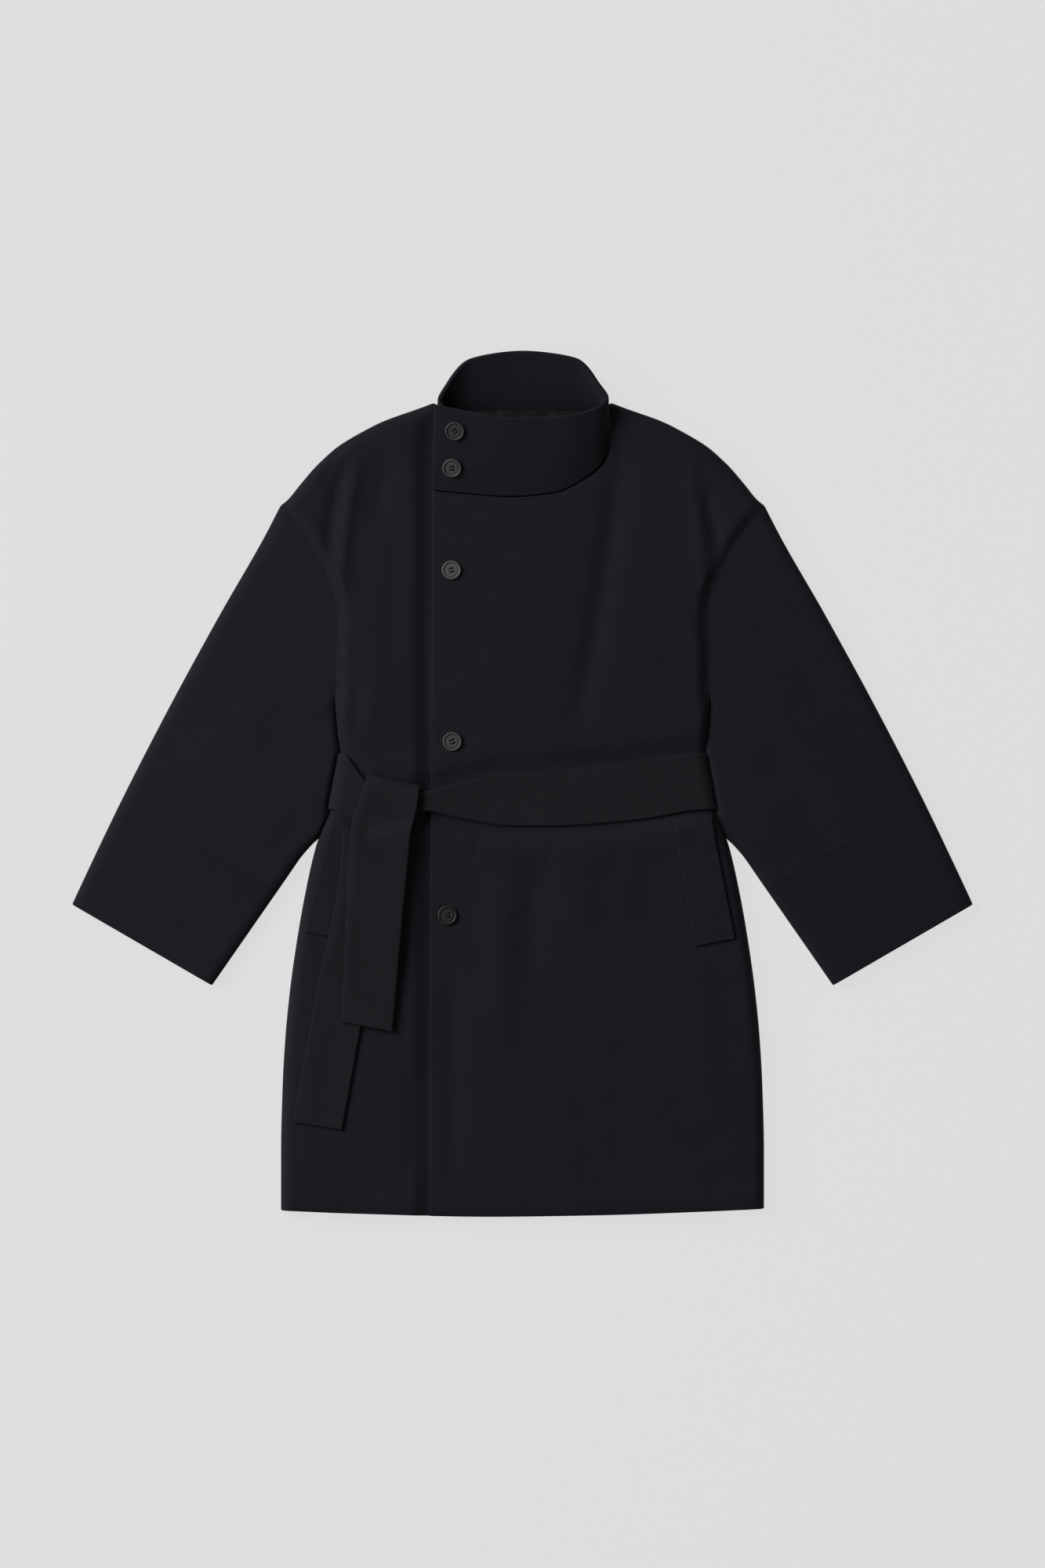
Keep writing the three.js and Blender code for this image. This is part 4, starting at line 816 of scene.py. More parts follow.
@dataclass
class ClothWall:
    """A wall of cloth over a grid of rows and columns, closed and rounded at its edges.

    Place gives points for rows, columns and a distance off the outer side. Outer and inner are
    those distances for the wall's two sides. Rolls are the radii of the edges at the first and
    last row and the first and last column. Grain is how far the cloth's grain is turned from the
    plan, in degrees, or None where it follows the piece.
    """

    name: str
    rows: Array
    columns: Array
    place: Place
    outer: float
    inner: float
    rolls: tuple[float, float, float, float] = (1.3, 1.3, 1.3, 1.3)
    grain: float | None = 0.0

    def _with_rolls(self, stations: Array, along: Array, first: float, last: float) -> Array:
        """Adds stations where the edges at both ends are rounded.

        Args:
            stations: rows or columns.
            along: the real distance at each of them.
            first: the radius at the first edge.
            last: the radius at the last edge.

        Returns:
            The stations, with those that stood in the rounded parts taken out.
        """
        steps = 1.0 - QUARTER_TURN[::2]
        total = along[-1]
        wanted = np.concatenate([first * steps[1:-1], [first], total - last * steps[1:-1]])
        wanted = np.append(wanted, total - last)
        kept = stations[(along > first * 1.3) & (along < total - last * 1.3)]
        ends = stations[[0, -1]]
        return np.unique(np.concatenate([ends, kept, np.interp(wanted, along, stations)]))

    def _edge_share(self, grid: Array) -> Array:
        """How deep each point lies in a rounded edge, times that edge's radius."""
        down = np.linalg.norm(np.diff(grid, axis=0), axis=-1)
        along = np.concatenate([np.zeros((1, grid.shape[1])), np.cumsum(down, axis=0)])
        over = np.linalg.norm(np.diff(grid, axis=1), axis=-1)
        across = np.concatenate([np.zeros((grid.shape[0], 1)), np.cumsum(over, axis=1)], axis=1)
        gaps = (along, along[-1:] - along, across, across[:, -1:] - across)
        depths = [r * (1.0 - arc(g / r)) for g, r in zip(gaps, self.rolls)]
        return np.max(depths, axis=0)

    def _cloth_map(self, grid: Array) -> Array:
        """Where each point lies on the flat cloth, in metres."""
        if self.grain is None:
            middle = grid.shape[0] // 2, grid.shape[1] // 2
            u = lengths(grid[middle[0]])[None, :]
            v = lengths(grid[:, middle[1]])[:, None]
            return np.stack(np.broadcast_arrays(u, v), axis=-1) * MM
        turn = math.radians(self.grain)
        x, y = grid[..., 0], grid[..., 1]
        u = x * math.cos(turn) + y * math.sin(turn)
        return np.stack([u, y * math.cos(turn) - x * math.sin(turn)], axis=-1) * MM

    def build(self) -> bpy.types.Object:
        """Makes the wall from a flat grid that is doubled, joined at its rim and laid in place.

        Returns:
            The wall as an object at the origin.
        """
        mid_row, mid_column = np.median(self.rows), np.median(self.columns)
        down = self.place(self.rows[:, None], np.array([[mid_column]]), self.outer)[:, 0]
        over = self.place(np.array([[mid_row]]), self.columns[None, :], self.outer)[0]
        rows = self._with_rolls(self.rows, lengths(down), *self.rolls[:2])
        columns = self._with_rolls(self.columns, lengths(over), *self.rolls[2:])
        outer = self.place(rows[:, None], columns[None, :], self.outer)
        inner = self.place(rows[:, None], columns[None, :], self.inner)
        share = (self._edge_share(outer) / (self.outer - self.inner))[..., None]
        cloth = self._cloth_map(outer)
        outer, inner = mix(outer, inner, share), mix(inner, outer, share)
        bm = bmesh.new()
        last_row, last_column = len(rows) - 1, len(columns) - 1
        bmesh.ops.create_grid(bm, x_segments=last_column, y_segments=last_row, size=1.0)
        row_of = bm.verts.layers.int.new("row")
        column_of = bm.verts.layers.int.new("column")
        for vert in bm.verts:
            vert[row_of] = round((vert.co.y + 1) / 2 * last_row)
            vert[column_of] = round((vert.co.x + 1) / 2 * last_column)
            vert.co = outer[vert[row_of], vert[column_of]] * MM
        doubled = bmesh.ops.extrude_face_region(bm, geom=bm.faces[:], use_keep_orig=True)
        for vert in doubled["geom"]:
            if isinstance(vert, bmesh.types.BMVert):
                vert.co = inner[vert[row_of], vert[column_of]] * MM
        uv_layer = bm.loops.layers.uv.new("ClothMap")
        for face in bm.faces:
            for loop in face.loops:
                loop[uv_layer].uv = cloth[loop.vert[row_of], loop.vert[column_of]]
        bm.verts.layers.int.remove(bm.verts.layers.int["row"])
        bm.verts.layers.int.remove(bm.verts.layers.int["column"])
        bmesh.ops.recalc_face_normals(bm, faces=bm.faces[:])
        return new_object(self.name, bm)


def evenly(start: float, stop: float, step: float) -> Array:
    """Stations from start to stop, about a step apart."""
    return np.linspace(start, stop, max(2, round(abs(stop - start) / step) + 1))


def declare(
    obj: bpy.types.Object,
    node: str,
    cut: tuple[float, float],
) -> None:
    """Hides the solid that a piece stands for and logs the piece's faces and what it was cut from.

    Args:
        obj: the piece.
        node: the solid that it stands for.
        cut: the flat cloth's width and length in metres.
    """
    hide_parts(node)
    log.info("%s: %d faces, cut %.0f x %.0f mm", obj.name, len(obj.data.polygons),
             cut[0] / MM, cut[1] / MM)


@dataclass(frozen=True)
class Edge:
    """A long edge of a panel: its X for a Y, the Y of its hem and top, and its X at the waist."""

    x: Callable[[Any], Any]
    hem: float
    top: float
    core: float


@dataclass
class Body:
    """The back and the two wrapped fronts."""

    spacing: float = 5.0
    hidden_spacing: float = 8.0
    front_spread: float = 8.0
    hem_roll: float = 1.85
    seam_roll: float = 1.2
    over_cut: tuple[float, float] = (0.383, 0.93)
    under_cut: tuple[float, float] = (0.322, 0.93)
    back_cut: tuple[float, float] = (0.554, 0.93)
    over_area: float = 0.291
    under_area: float = 0.246
    back_area: float = 0.437

    def _levels(self, spacing: float) -> Array:
        """Rows from the hem to the top, closer together where the shoulder turns."""
        height = SHOULDER[1] - HEM_LEVEL
        turn = 1.0 - 1.15 * FOLD_R * (1.0 - QUARTER_TURN) / height
        return np.unique(np.concatenate([evenly(0, turn[0], spacing / height), turn]))

    def _columns(self, width: float, spacing: float, neck: Sequence[float], folds: str) -> Array:
        """Columns, closer together where a side turns and where the neck edge is steep."""
        turn = FOLD_R * (1.0 - QUARTER_TURN) / width
        parts = [evenly(0, 1, spacing / width)]
        parts += [evenly(a, b, 0.004) for a, b in zip(neck[::2], neck[1::2])]
        stations = np.concatenate(parts)
        if "left" in folds:
            stations = np.concatenate([stations[stations > turn[0]], turn, [0.0]])
        if "right" in folds:
            stations = np.concatenate([stations[stations < 1 - turn[0]], 1.0 - turn, [1.0]])
        return np.unique(np.round(stations, 5))

    def _top_edge(self, table: Table, share: Array) -> tuple[Array, Array]:
        """The top edge of a panel: its neck, with a shoulder on either side of it."""
        first, last = table.at[0], table.at[-1]
        left = np.clip(1.0 - share / max(first, 1e-6), 0.0, 1.0)
        right = np.clip((share - last) / max(1.0 - last, 1e-6), 0.0, 1.0)
        ends = []
        for i, column in enumerate(("x", "y")):
            sign = -1 if column == "x" else 1
            neck = table.read(column, share)
            rise, fall = (
                mix(NECK[i], SHOULDER[i], k) + SHOULDER_OUT[i] * SHOULDER_BOW.read("out", k)
                for k in (left, right)
            )
            ends.append(np.where(share < first, sign * rise, np.where(share > last, fall, neck)))
        return ends[0], ends[1]

    def _plan(
        self, table: Table, left: Edge, right: Edge, spread: float
    ) -> Callable[[Array, Array], tuple[Array, Array]]:
        """The plan of a panel.

        Args:
            table: its neck edge.
            left: its left edge.
            right: its right edge.
            spread: the power by which a side's curve dies away across the panel, so that no
                column leans over another.

        Returns:
            A function that gives X and Y for a level and a share of the width.
        """

        def between(left_at: Array, right_at: Array, share: Array) -> Array:
            """X at a share of the way from one side's X to the other's."""
            curve = (left_at - left.core) * (1.0 - share) ** spread
            curve = curve + (right_at - right.core) * share**spread
            return mix(left.core, right.core, share) + curve

        def plan(level: Array, share: Array) -> tuple[Array, Array]:
            """X and Y for a level from 0 at the hem to 1, and a share of the width."""
            tops = mix(left.top, right.top, share)
            hem_x = between(left.x(left.hem), right.x(right.hem), share)
            straight_y = mix(HEM.read("y", hem_x), tops, level)
            top_x, top_y = self._top_edge(table, share)
            rise = (level - 0.7) / 0.3
            lift = ease(rise) * 0.5 + np.clip(rise, 0, 1) * 0.5
            sides = between(left.x(mix(left.hem, left.top, level)),
                            right.x(mix(right.hem, right.top, level)), share)
            straight_top = between(left.x(left.top), right.x(right.top), share)
            return sides + lift * (top_x - straight_top), straight_y + lift * (top_y - tops)

        return plan

    def build(self) -> None:
        """Builds and dresses the three panels."""
        side_left = Edge(lambda y: -body_half(y), float(HEM.read("y", -277)), SHOULDER[1], -215.0)
        side_right = Edge(body_half, float(HEM.read("y", 277)), SHOULDER[1], 215.0)
        over_hem = float(HEM.read("y", -106.6))
        over_edge = Edge(lambda y: OVER_EDGE.read("x", y), over_hem, 335.5, -105.0)
        under_edge = Edge(lambda y: 45.0 + 0 * y, float(HEM.read("y", 45)), 330.0, 45.0)

        over = self._plan(TOP_OVER, over_edge, side_right, self.front_spread)
        under = self._plan(TOP_UNDER, side_left, under_edge, self.front_spread)
        back = self._plan(TOP_BACK, side_left, side_right, 1.0)

        def front(plan: Callable, height: Callable) -> Place:
            """Points of a front, whose rows keep to the belt."""
            def place(level: Array, share: Array, off: float) -> Array:
                """Points for a level, a share of the width and a distance off the outer side."""
                x, y = plan(level, share)
                return on_top(x, follow_belt(x, y), off, height)
            return place

        def behind(level: Array, share: Array, off: float) -> Array:
            """Points of the back."""
            x, y = back(level, share)
            return on_bottom(x, y, off)

        levels = self._levels(self.spacing)
        hem, seam = self.hem_roll, self.seam_roll
        wall = ClothWall(
            "padded_front_over", levels,
            self._columns(540, self.spacing, (0.555, 0.68), "right"),
            front(over, coat_top), 0.0, -SHELL_T, (hem, seam, hem, seam),
        )
        declare(dress(wall.build(), COAT_CLOTH), "front_over", self.over_cut)
        wall = ClothWall(
            "padded_front_under", levels,
            self._columns(480, self.spacing, (0.4, 0.53), "left"),
            front(under, under_top), 0.0, -SHELL_T, (hem, seam, seam, hem),
        )
        declare(dress(wall.build(), COAT_CLOTH), "front_under", self.under_cut)
        wall = ClothWall(
            "padded_back", self._levels(self.hidden_spacing),
            self._columns(540, self.hidden_spacing, (0.3, 0.37, 0.63, 0.7), "left right"),
            behind, 0.0, -SHELL_T, (hem, seam, seam, seam),
        )
        declare(dress(wall.build(), COAT_CLOTH), "back", self.back_cut)


@dataclass
class Sleeve:
    """One sleeve: an upper and an under piece, with stitched rows round the cuff."""

    side: Side
    spacing: float = 5.5
    row_steps: int = 6
    hem_roll: float = 1.85
    seam_roll: float = 1.1
    cut: tuple[float, float] = (0.26, 0.5)
    area: float = 0.096

    def _armhole(self, share: Array) -> tuple[Array, Array]:
        """The sleeve's edge along the body and its belt, from the shoulder down."""
        y = mix(SHOULDER[1], ARMHOLE_END[1], share)
        past_belt = 1.0 - ease((np.abs(y - BELT_BACK_Y) - BELT_BACK_HALF + 2.0) / 4.0)
        return body_half(y) + BELT_LIFT * past_belt, y

    def _spot(self, reach: Array, share: Array, touch: float) -> dict[str, Array]:
        """All that a point of the sleeve needs.

        Args:
            reach: the distance from the cuff along the outer fold.
            share: 0 at the outer fold and 1 at the inner one.
            touch: how far the piece is pressed in beside the body.

        Returns:
            The plan, the distance to the body, and which way is out.
        """
        edge_x, edge_y = self._armhole(share)
        edge_x = edge_x - touch * ease(share / 0.06)
        straight = mix(SLEEVE_OUTER.read("x", SLEEVE_LENGTH), ARMHOLE_END[0], share)
        pull = ease((reach - 240) / (SLEEVE_LENGTH - 240)) * 0.5
        pull = pull + np.clip((reach - 380) / 135, 0, 1) * 0.5
        outer = [SLEEVE_OUTER.read(c, reach) for c in ("x", "y")]
        inner = [SLEEVE_INNER.read(c, reach) for c in ("x", "y")]
        x = mix(outer[0], inner[0], share) + pull * (edge_x - straight)
        y = mix(outer[1], inner[1], share)
        width = np.hypot(outer[0] - inner[0], outer[1] - inner[1])
        across = [(outer[i] - inner[i]) / width for i in (0, 1)]
        outer_gap, inner_gap = share * width, (1 - share) * width
        body_gap = np.hypot(x - edge_x, y - edge_y)
        seam = seam_share(edge_y)
        near = 1 - ease(body_gap / ARMHOLE_REACH)
        outer_turn = np.maximum(0, 1 - outer_gap / FOLD_R)
        inner_turn = np.maximum(0, 1 - inner_gap / FOLD_R)
        body_turn = np.maximum(0, 1 - body_gap / FOLD_R) * (1 - seam)
        turned = arc(outer_gap / FOLD_R) * arc(inner_gap / FOLD_R)
        up = turned * mix(arc(body_gap / FOLD_R), 1.0, seam)
        out = no_longer_than_one(points(
            outer_turn * mix(across[0], SHOULDER_OUT[0], near) - inner_turn * across[0] - body_turn,
            outer_turn * mix(across[1], SHOULDER_OUT[1], near) - inner_turn * across[1],
            up,
        ))
        return {"x": x, "y": y, "edge": edge_y, "gap": body_gap, "seam": seam,
                "turned": turned, "out": out}

    def _sink(self, reach: Array, share: Array) -> Array:
        """How far the stitched rows sink, a row every CUFF_PITCH from the cuff's edge up."""
        phase = reach / CUFF_PITCH - 0.5
        nearest = np.abs(phase - np.round(phase))
        ends = (phase > -0.4) & (phase < CUFF_ROWS - 0.6)
        edges = ease(share / 0.03) * ease((1 - share) / 0.03)
        return np.where(ends, CUFF_DEPTH * bell(nearest / 0.2) * edges, 0.0)

    def _upper(self, reach: Array, share: Array, off: float) -> Array:
        """Points of the upper piece."""
        spot = self._spot(reach, share, TOUCH["upper"])
        opened = FOLD_Z + (SLEEVE_CROWN.read("top", reach) - FOLD_Z) * spot["turned"]
        opened = opened + self._creases(reach, share) * spot["turned"]
        seam = coat_top(body_half(spot["edge"]), spot["edge"]) - GAP / 2
        at_armhole = mix(seam, opened, ease(spot["gap"] / ARMHOLE_REACH))
        at_fold = FOLD_Z + (opened - FOLD_Z) * arc(spot["gap"] / FOLD_R)
        z = mix(at_fold, at_armhole, spot["seam"]) + GAP / 2
        depth = off - (self._sink(reach, share) if off == 0 else 0 * reach * share)
        place = points(spot["x"], spot["y"], z) + spot["out"] * depth[..., None]
        return place * np.array([self.side.value, 1, 1])

    def _under(self, reach: Array, share: Array, off: float) -> Array:
        """Points of the under piece, which lies on the floor."""
        spot = self._spot(reach, share, TOUCH["under"])
        fold = FOLD_Z - GAP / 2
        opened = fold * (1 - spot["turned"])
        seam = coat_bottom(body_half(spot["edge"]), spot["edge"])
        at_armhole = mix(seam, opened, ease(spot["gap"] / ARMHOLE_REACH))
        at_fold = fold - (fold - opened) * arc(spot["gap"] / FOLD_R)
        z = mix(at_fold, at_armhole, spot["seam"])
        depth = off - (self._sink(reach, share) if off == 0 else 0 * reach * share)
        out = spot["out"] * depth[..., None]
        place = points(spot["x"], spot["y"], z) + out * np.array([1, 1, -1])
        return place * np.array([self.side.value, 1, 1])

    def _creases(self, reach: Array, share: Array) -> Array:
        """Soft rolls along the sleeve, of unlike length and height."""
        table = SLEEVE_CREASES[self.side]
        x = share * 230.0
        return fold_rise(x, reach + 0 * x, table)

    def build(self) -> None:
        """Builds and dresses both pieces."""
        step = CUFF_PITCH / self.row_steps
        cuff = np.concatenate([[0.0], np.arange(CUFF_PITCH / 2, CUFF_ROWS * CUFF_PITCH, step)])
        turn = SLEEVE_LENGTH - FOLD_R * (1 - QUARTER_TURN)
        rows = np.unique(np.concatenate([cuff, evenly(cuff[-1] + 2, turn[0], self.spacing), turn]))
        drop = SHOULDER[1] - ARMHOLE_END[1]
        first = 1.15 * FOLD_R * (1 - QUARTER_TURN) / drop
        last = 1 - FOLD_R * (1 - QUARTER_TURN) / 230
        middle = evenly(first[0], last[0], self.spacing / 380)
        columns = np.unique(np.round(np.concatenate([[0], first, middle, last, [1]]), 5))
        side = self.side.name.lower()
        for piece, make in (("upper", self._upper), ("under", self._under)):
            wall = ClothWall(
                f"padded_sleeve_{side}_{piece}", rows, columns, make, 0.0, -SHELL_T,
                (1.5, self.seam_roll, self.seam_roll, self.seam_roll),
                grain=-self.side.value * 27.0,
            )
            declare(dress(wall.build(), COAT_CLOTH), f"sleeve_{side}_{piece}", self.cut)


# Rolls of the sleeves: x is across from the outer fold and y is the reach from the cuff
SLEEVE_CREASES = {
    Side.LEFT: (
        (70, 180, 96, 470, 8, 24, 1.0),
        (120, 150, 150, 400, -6, 20, -0.9),
        (170, 160, 196, 330, 5, 13, 0.8),
        (40, 320, 58, 480, 0, 12, -0.5),
    ),
    Side.RIGHT: (
        (60, 170, 84, 450, 6, 26, 1.1),
        (112, 160, 138, 420, -5, 18, -0.8),
        (165, 150, 190, 350, 4, 14, 0.9),
        (30, 300, 50, 480, 0, 11, -0.5),
    ),
}


def middle_wall(
    middle: Callable[[Array, Array], Array], sign: float = 1.0
) -> Place:
    """Points at a distance off a middle surface.

    Args:
        middle: points for rows and columns from 0 to 1.
        sign: 1 or -1, which side is the outer one.

    Returns:
        A function that gives points for a row, a column and a distance off the middle.
    """

    def place(row: Array, column: Array, off: float) -> Array:
        """Points for a row, a column and a distance off the middle surface."""
        row, column = np.broadcast_arrays(row, column)
        step = 0.002
        up = middle(np.minimum(1, row + step), column) - middle(np.maximum(0, row - step), column)
        over = middle(row, np.minimum(1, column + step)) - middle(row, np.maximum(0, column - step))
        normal = np.cross(over, up)
        normal = normal / np.linalg.norm(normal, axis=-1, keepdims=True)
        return middle(row, column) + normal * off * sign

    return place


def collar_middle(height: Array, around: Array) -> Array:
    """The collar's middle surface, from its seam to its rim and from its over end round."""
    belly = np.sin(np.pi * height) * 1.2 * (1 - ease((around - 0.35) / 0.15))
    at = {name: COLLAR.read(name, around) for name in COLLAR.columns}
    dent = 0.9 * bell((around - 0.145) / 0.035) * bell((height - 0.82) / 0.16)
    return points(
        mix(at["seamX"], at["rimX"], height),
        mix(at["seamY"], at["rimY"], height),
        mix(at["seamZ"], at["rimZ"], height) + belly - dent,
    )


@dataclass
class Collar:
    """The stand collar, one band that goes round the neck and overlaps itself in front."""

    rows: int = 26
    columns: int = 230
    rim_roll: float = 2.2
    seam_roll: float = 1.3
    cut: tuple[float, float] = (0.62, 0.1)
    area: float = 0.05

    def build(self) -> None:
        """Builds and dresses the band."""
        wall = ClothWall(
            "padded_collar", np.linspace(0, 1, self.rows), np.linspace(0, 1, self.columns),
            middle_wall(collar_middle), COLLAR_T / 2, -COLLAR_T / 2,
            (self.seam_roll, self.rim_roll, 2.0, 2.0), grain=None,
        )
        declare(dress(wall.build(), COLLAR_CLOTH), "collar", self.cut)


@dataclass
class NeckLining:
    """The strip of satin that shows inside the neck, creased across and bare."""

    x: tuple[float, float] = (-62.0, 72.0)
    y: tuple[float, float] = (404.0, 429.0)
    thickness: float = 1.0
    cut: tuple[float, float] = (0.136, 0.026)

    def _place(self, row: Array, column: Array, off: float) -> Array:
        """Points of the strip, with its soft creases."""
        x = mix(*self.x, column)
        y = mix(*self.y, row)
        wave = 0.35 * np.sin(x / 6.5 + 1.3 * np.sin(x / 17)) + 0.25 * np.sin(x / 3.1 + y / 9)
        return points(x, y, SHELL_T + GAP + 0.6 + self.thickness + wave * np.sin(np.pi * row) + off)

    def build(self) -> None:
        """Builds and dresses the strip."""
        wall = ClothWall(
            "neck_lining_strip", np.linspace(0, 1, 12), np.linspace(0, 1, 90), self._place,
            0.0, -self.thickness, (0.4, 0.4, 0.4, 0.4),
        )
        declare(dress(wall.build(), LINING_SATIN), "neck_lining", self.cut)


@dataclass
class Belt:
    """The belt round the waist, drawn together where it goes under the knot."""

    spacing: float = 3.0
    across: int = 25
    roll: float = 1.45
    cut: tuple[float, float] = (0.064, 0.91)
    area: float = 0.0555

    def _gathers(self, near: Array, across: Array) -> Array:
        """Pleats that run out from the knot, uneven across the belt."""
        pull = bell((near + 116) / 34) + 0.5 * bell((near + 150) / 26)
        lines = 0.9 * bell((across - 0.34) / 0.07) + 0.6 * bell((across - 0.63) / 0.06)
        lines = lines + 0.4 * bell((across - 0.82) / 0.04)
        return -0.4 * pull * lines

    def _place(self, around: Array, across: Array, off: float) -> Array:
        """Points of the belt, from under the knot round the wearer's left and back again.

        Args:
            around: 0 to 1 round the waist.
            across: 0 to 1 from the belt's lower edge up.
            off: the distance off the coat.

        Returns:
            The points.
        """
        around, across = np.broadcast_arrays(around, across)
        spread = 2 * across - 1
        quarter = around * 4
        y_back = BELT_BACK_Y + BELT_BACK_HALF * spread
        share = mix(1.0, -1.0, np.clip((quarter - 1) / 2, 0, 1))
        back = on_bottom(share * body_half(y_back), y_back, off + 0 * share)
        pieces = []
        for start, side, k in (
            (BELT_END_LEFT, 1, np.clip(quarter, 0, 1)),
            (BELT_END_RIGHT, -1, np.clip(4 - quarter, 0, 1)),
        ):
            near = mix(start, side * BELT_SIDE, k)
            half = BELT_FRONT.read("half", near)
            y = BELT_FRONT.read("y", near) + half * spread
            x = mix(start, side * body_half(y), k)
            gather = np.minimum(2.4, BELT_BACK_HALF / half)
            lift = (off - BELT_CLEAR) * gather + BELT_CLEAR if off > BELT_CLEAR else off + 0 * half
            if off > BELT_CLEAR:
                lift = lift + self._gathers(near, across)
            pieces.append(on_top(x, y, lift + 0 * x, belt_seat))
        first, last = pieces
        pick = quarter[..., None]
        return np.where(pick <= 1, first, np.where(pick <= 3, back, last))

    def build(self) -> None:
        """Builds and dresses the belt."""
        turn = FOLD_R * (1 - QUARTER_TURN)
        back_turn = turn / 215 * 0.25
        parts = [
            evenly(0, 0.25, self.spacing / 345 / 4), evenly(0.25, 0.75, self.spacing * 2 / 860),
            evenly(0.75, 1, self.spacing / 70 / 4), 0.25 - turn / 345 / 4, 0.25 + back_turn,
            0.75 - back_turn, 0.75 + turn / 70 / 4,
        ]
        wall = ClothWall(
            "waist_belt", np.unique(np.round(np.concatenate(parts), 6)),
            np.linspace(0, 1, self.across), self._place, BELT_CLEAR + BELT_T, BELT_CLEAR,
            (0.8, 0.8, self.roll, self.roll), grain=None,
        )
        declare(dress(wall.build(), BELT_CLOTH), "belt", self.cut)


@dataclass
class BeltTail:
    """One hanging end of the belt, with soft lengthwise ridges."""

    node: str
    table: Table
    ridges: tuple[tuple[float, float, float, float, float], ...]
    cut: tuple[float, float]
    spacing: float = 3.0
    roll: float = 1.45

    def _middle(self, along: Array, across: Array) -> Array:
        """The tail's middle surface, from the knot down and from its left edge."""
        read = {name: self.table.read(name, along) for name in self.table.columns}
        x = mix(read["leftX"], read["rightX"], across)
        y = mix(read["leftY"], read["rightY"], across)
        z = coat_top(x, y) + read["lift"] + BELT_T / 2
        for start, stop, at, width, rise in self.ridges:
            share = (along - start) / (stop - start)
            taper = ease(share / 0.25) * ease((1 - share) / 0.25)
            z = z + rise * taper * bell((across - at) / width)
        return points(x, y, z)

    def build(self) -> None:
        """Builds and dresses the tail."""
        rows = evenly(0, 1, self.spacing / (self.cut[1] / MM))
        name = self.node + "_cloth"
        wall = ClothWall(
            name, rows, evenly(0, 1, self.spacing / 60), middle_wall(self._middle, -1.0),
            BELT_T / 2, -BELT_T / 2, (self.roll,) * 4, grain=None,
        )
        declare(dress(wall.build(), BELT_CLOTH), self.node, self.cut)


@dataclass
class PocketWelt:
    """A slanted pocket welt that lies on a front."""

    side: Side
    shift: tuple[float, float] = (0.0, 0.0)
    start: float = 0.0
    spacing: float = 2.5
    cut: tuple[float, float] = (0.045, 0.148)

    def _place(self, row: Array, across: Array, off: float) -> Array:
        """Points of the welt, from the belt down and from its inner edge out."""
        along = mix(self.start, 1.0, row)
        read = {name: WELT.read(name, along) for name in WELT.columns}
        x = self.side.value * (mix(read["inX"], read["outX"], across) + self.shift[0] * along)
        y = mix(read["inY"], read["outY"], across) + self.shift[1] * along
        clear = WELT_LIFT + WELT_CLEAR * (1 - ease(along / 0.3))
        return on_top(x, y, off + clear + 0 * x)

    def build(self) -> None:
        """Builds and dresses the welt."""
        side = self.side.name.lower()
        wall = ClothWall(
            f"welt_{side}", evenly(0, 1, self.spacing / 148), evenly(0, 1, self.spacing / 45),
            self._place, GAP + WELT_T, GAP, (1.1, 1.1, 1.1, 1.1), grain=8.0 * -self.side.value,
        )
        declare(dress(wall.build(), COAT_CLOTH), f"pocket_welt_{side}", self.cut)


def spot_on(on: str, x: float, y: float) -> Matrix:
    """Where a button is sewn.

    Args:
        on: collar or front.
        x: plan position.
        y: plan position.

    Returns:
        A matrix in millimetres with its Z along the cloth's outward direction.
    """
    if on == "front":
        step = 0.5
        slope_x = float(coat_top(x + step, y) - coat_top(x - step, y)) / (2 * step)
        slope_y = float(coat_top(x, y + step) - coat_top(x, y - step)) / (2 * step)
        normal = Vector((-slope_x, -slope_y, 1)).normalized()
        point = Vector((x, y, float(coat_top(x, y))))
    else:
        height, around = 0.5, 0.03
        for _turn in range(40):
            here = collar_middle(np.array(height), np.array(around))
            up = (collar_middle(np.array(height + 0.01), np.array(around)) - here) / 0.01
            along = (collar_middle(np.array(height), np.array(around + 0.01)) - here) / 0.01
            det = up[0] * along[1] - up[1] * along[0]
            dx, dy = x - here[0], y - here[1]
            height += (dx * along[1] - dy * along[0]) / det
            around += (up[0] * dy - up[1] * dx) / det
        normal = Vector(np.cross(along, up)).normalized()
        point = Vector(here) + normal * (COLLAR_T / 2)
    turn = Vector((0, 0, 1)).rotation_difference(normal).to_matrix().to_4x4()
    return Matrix.Translation(point) @ turn


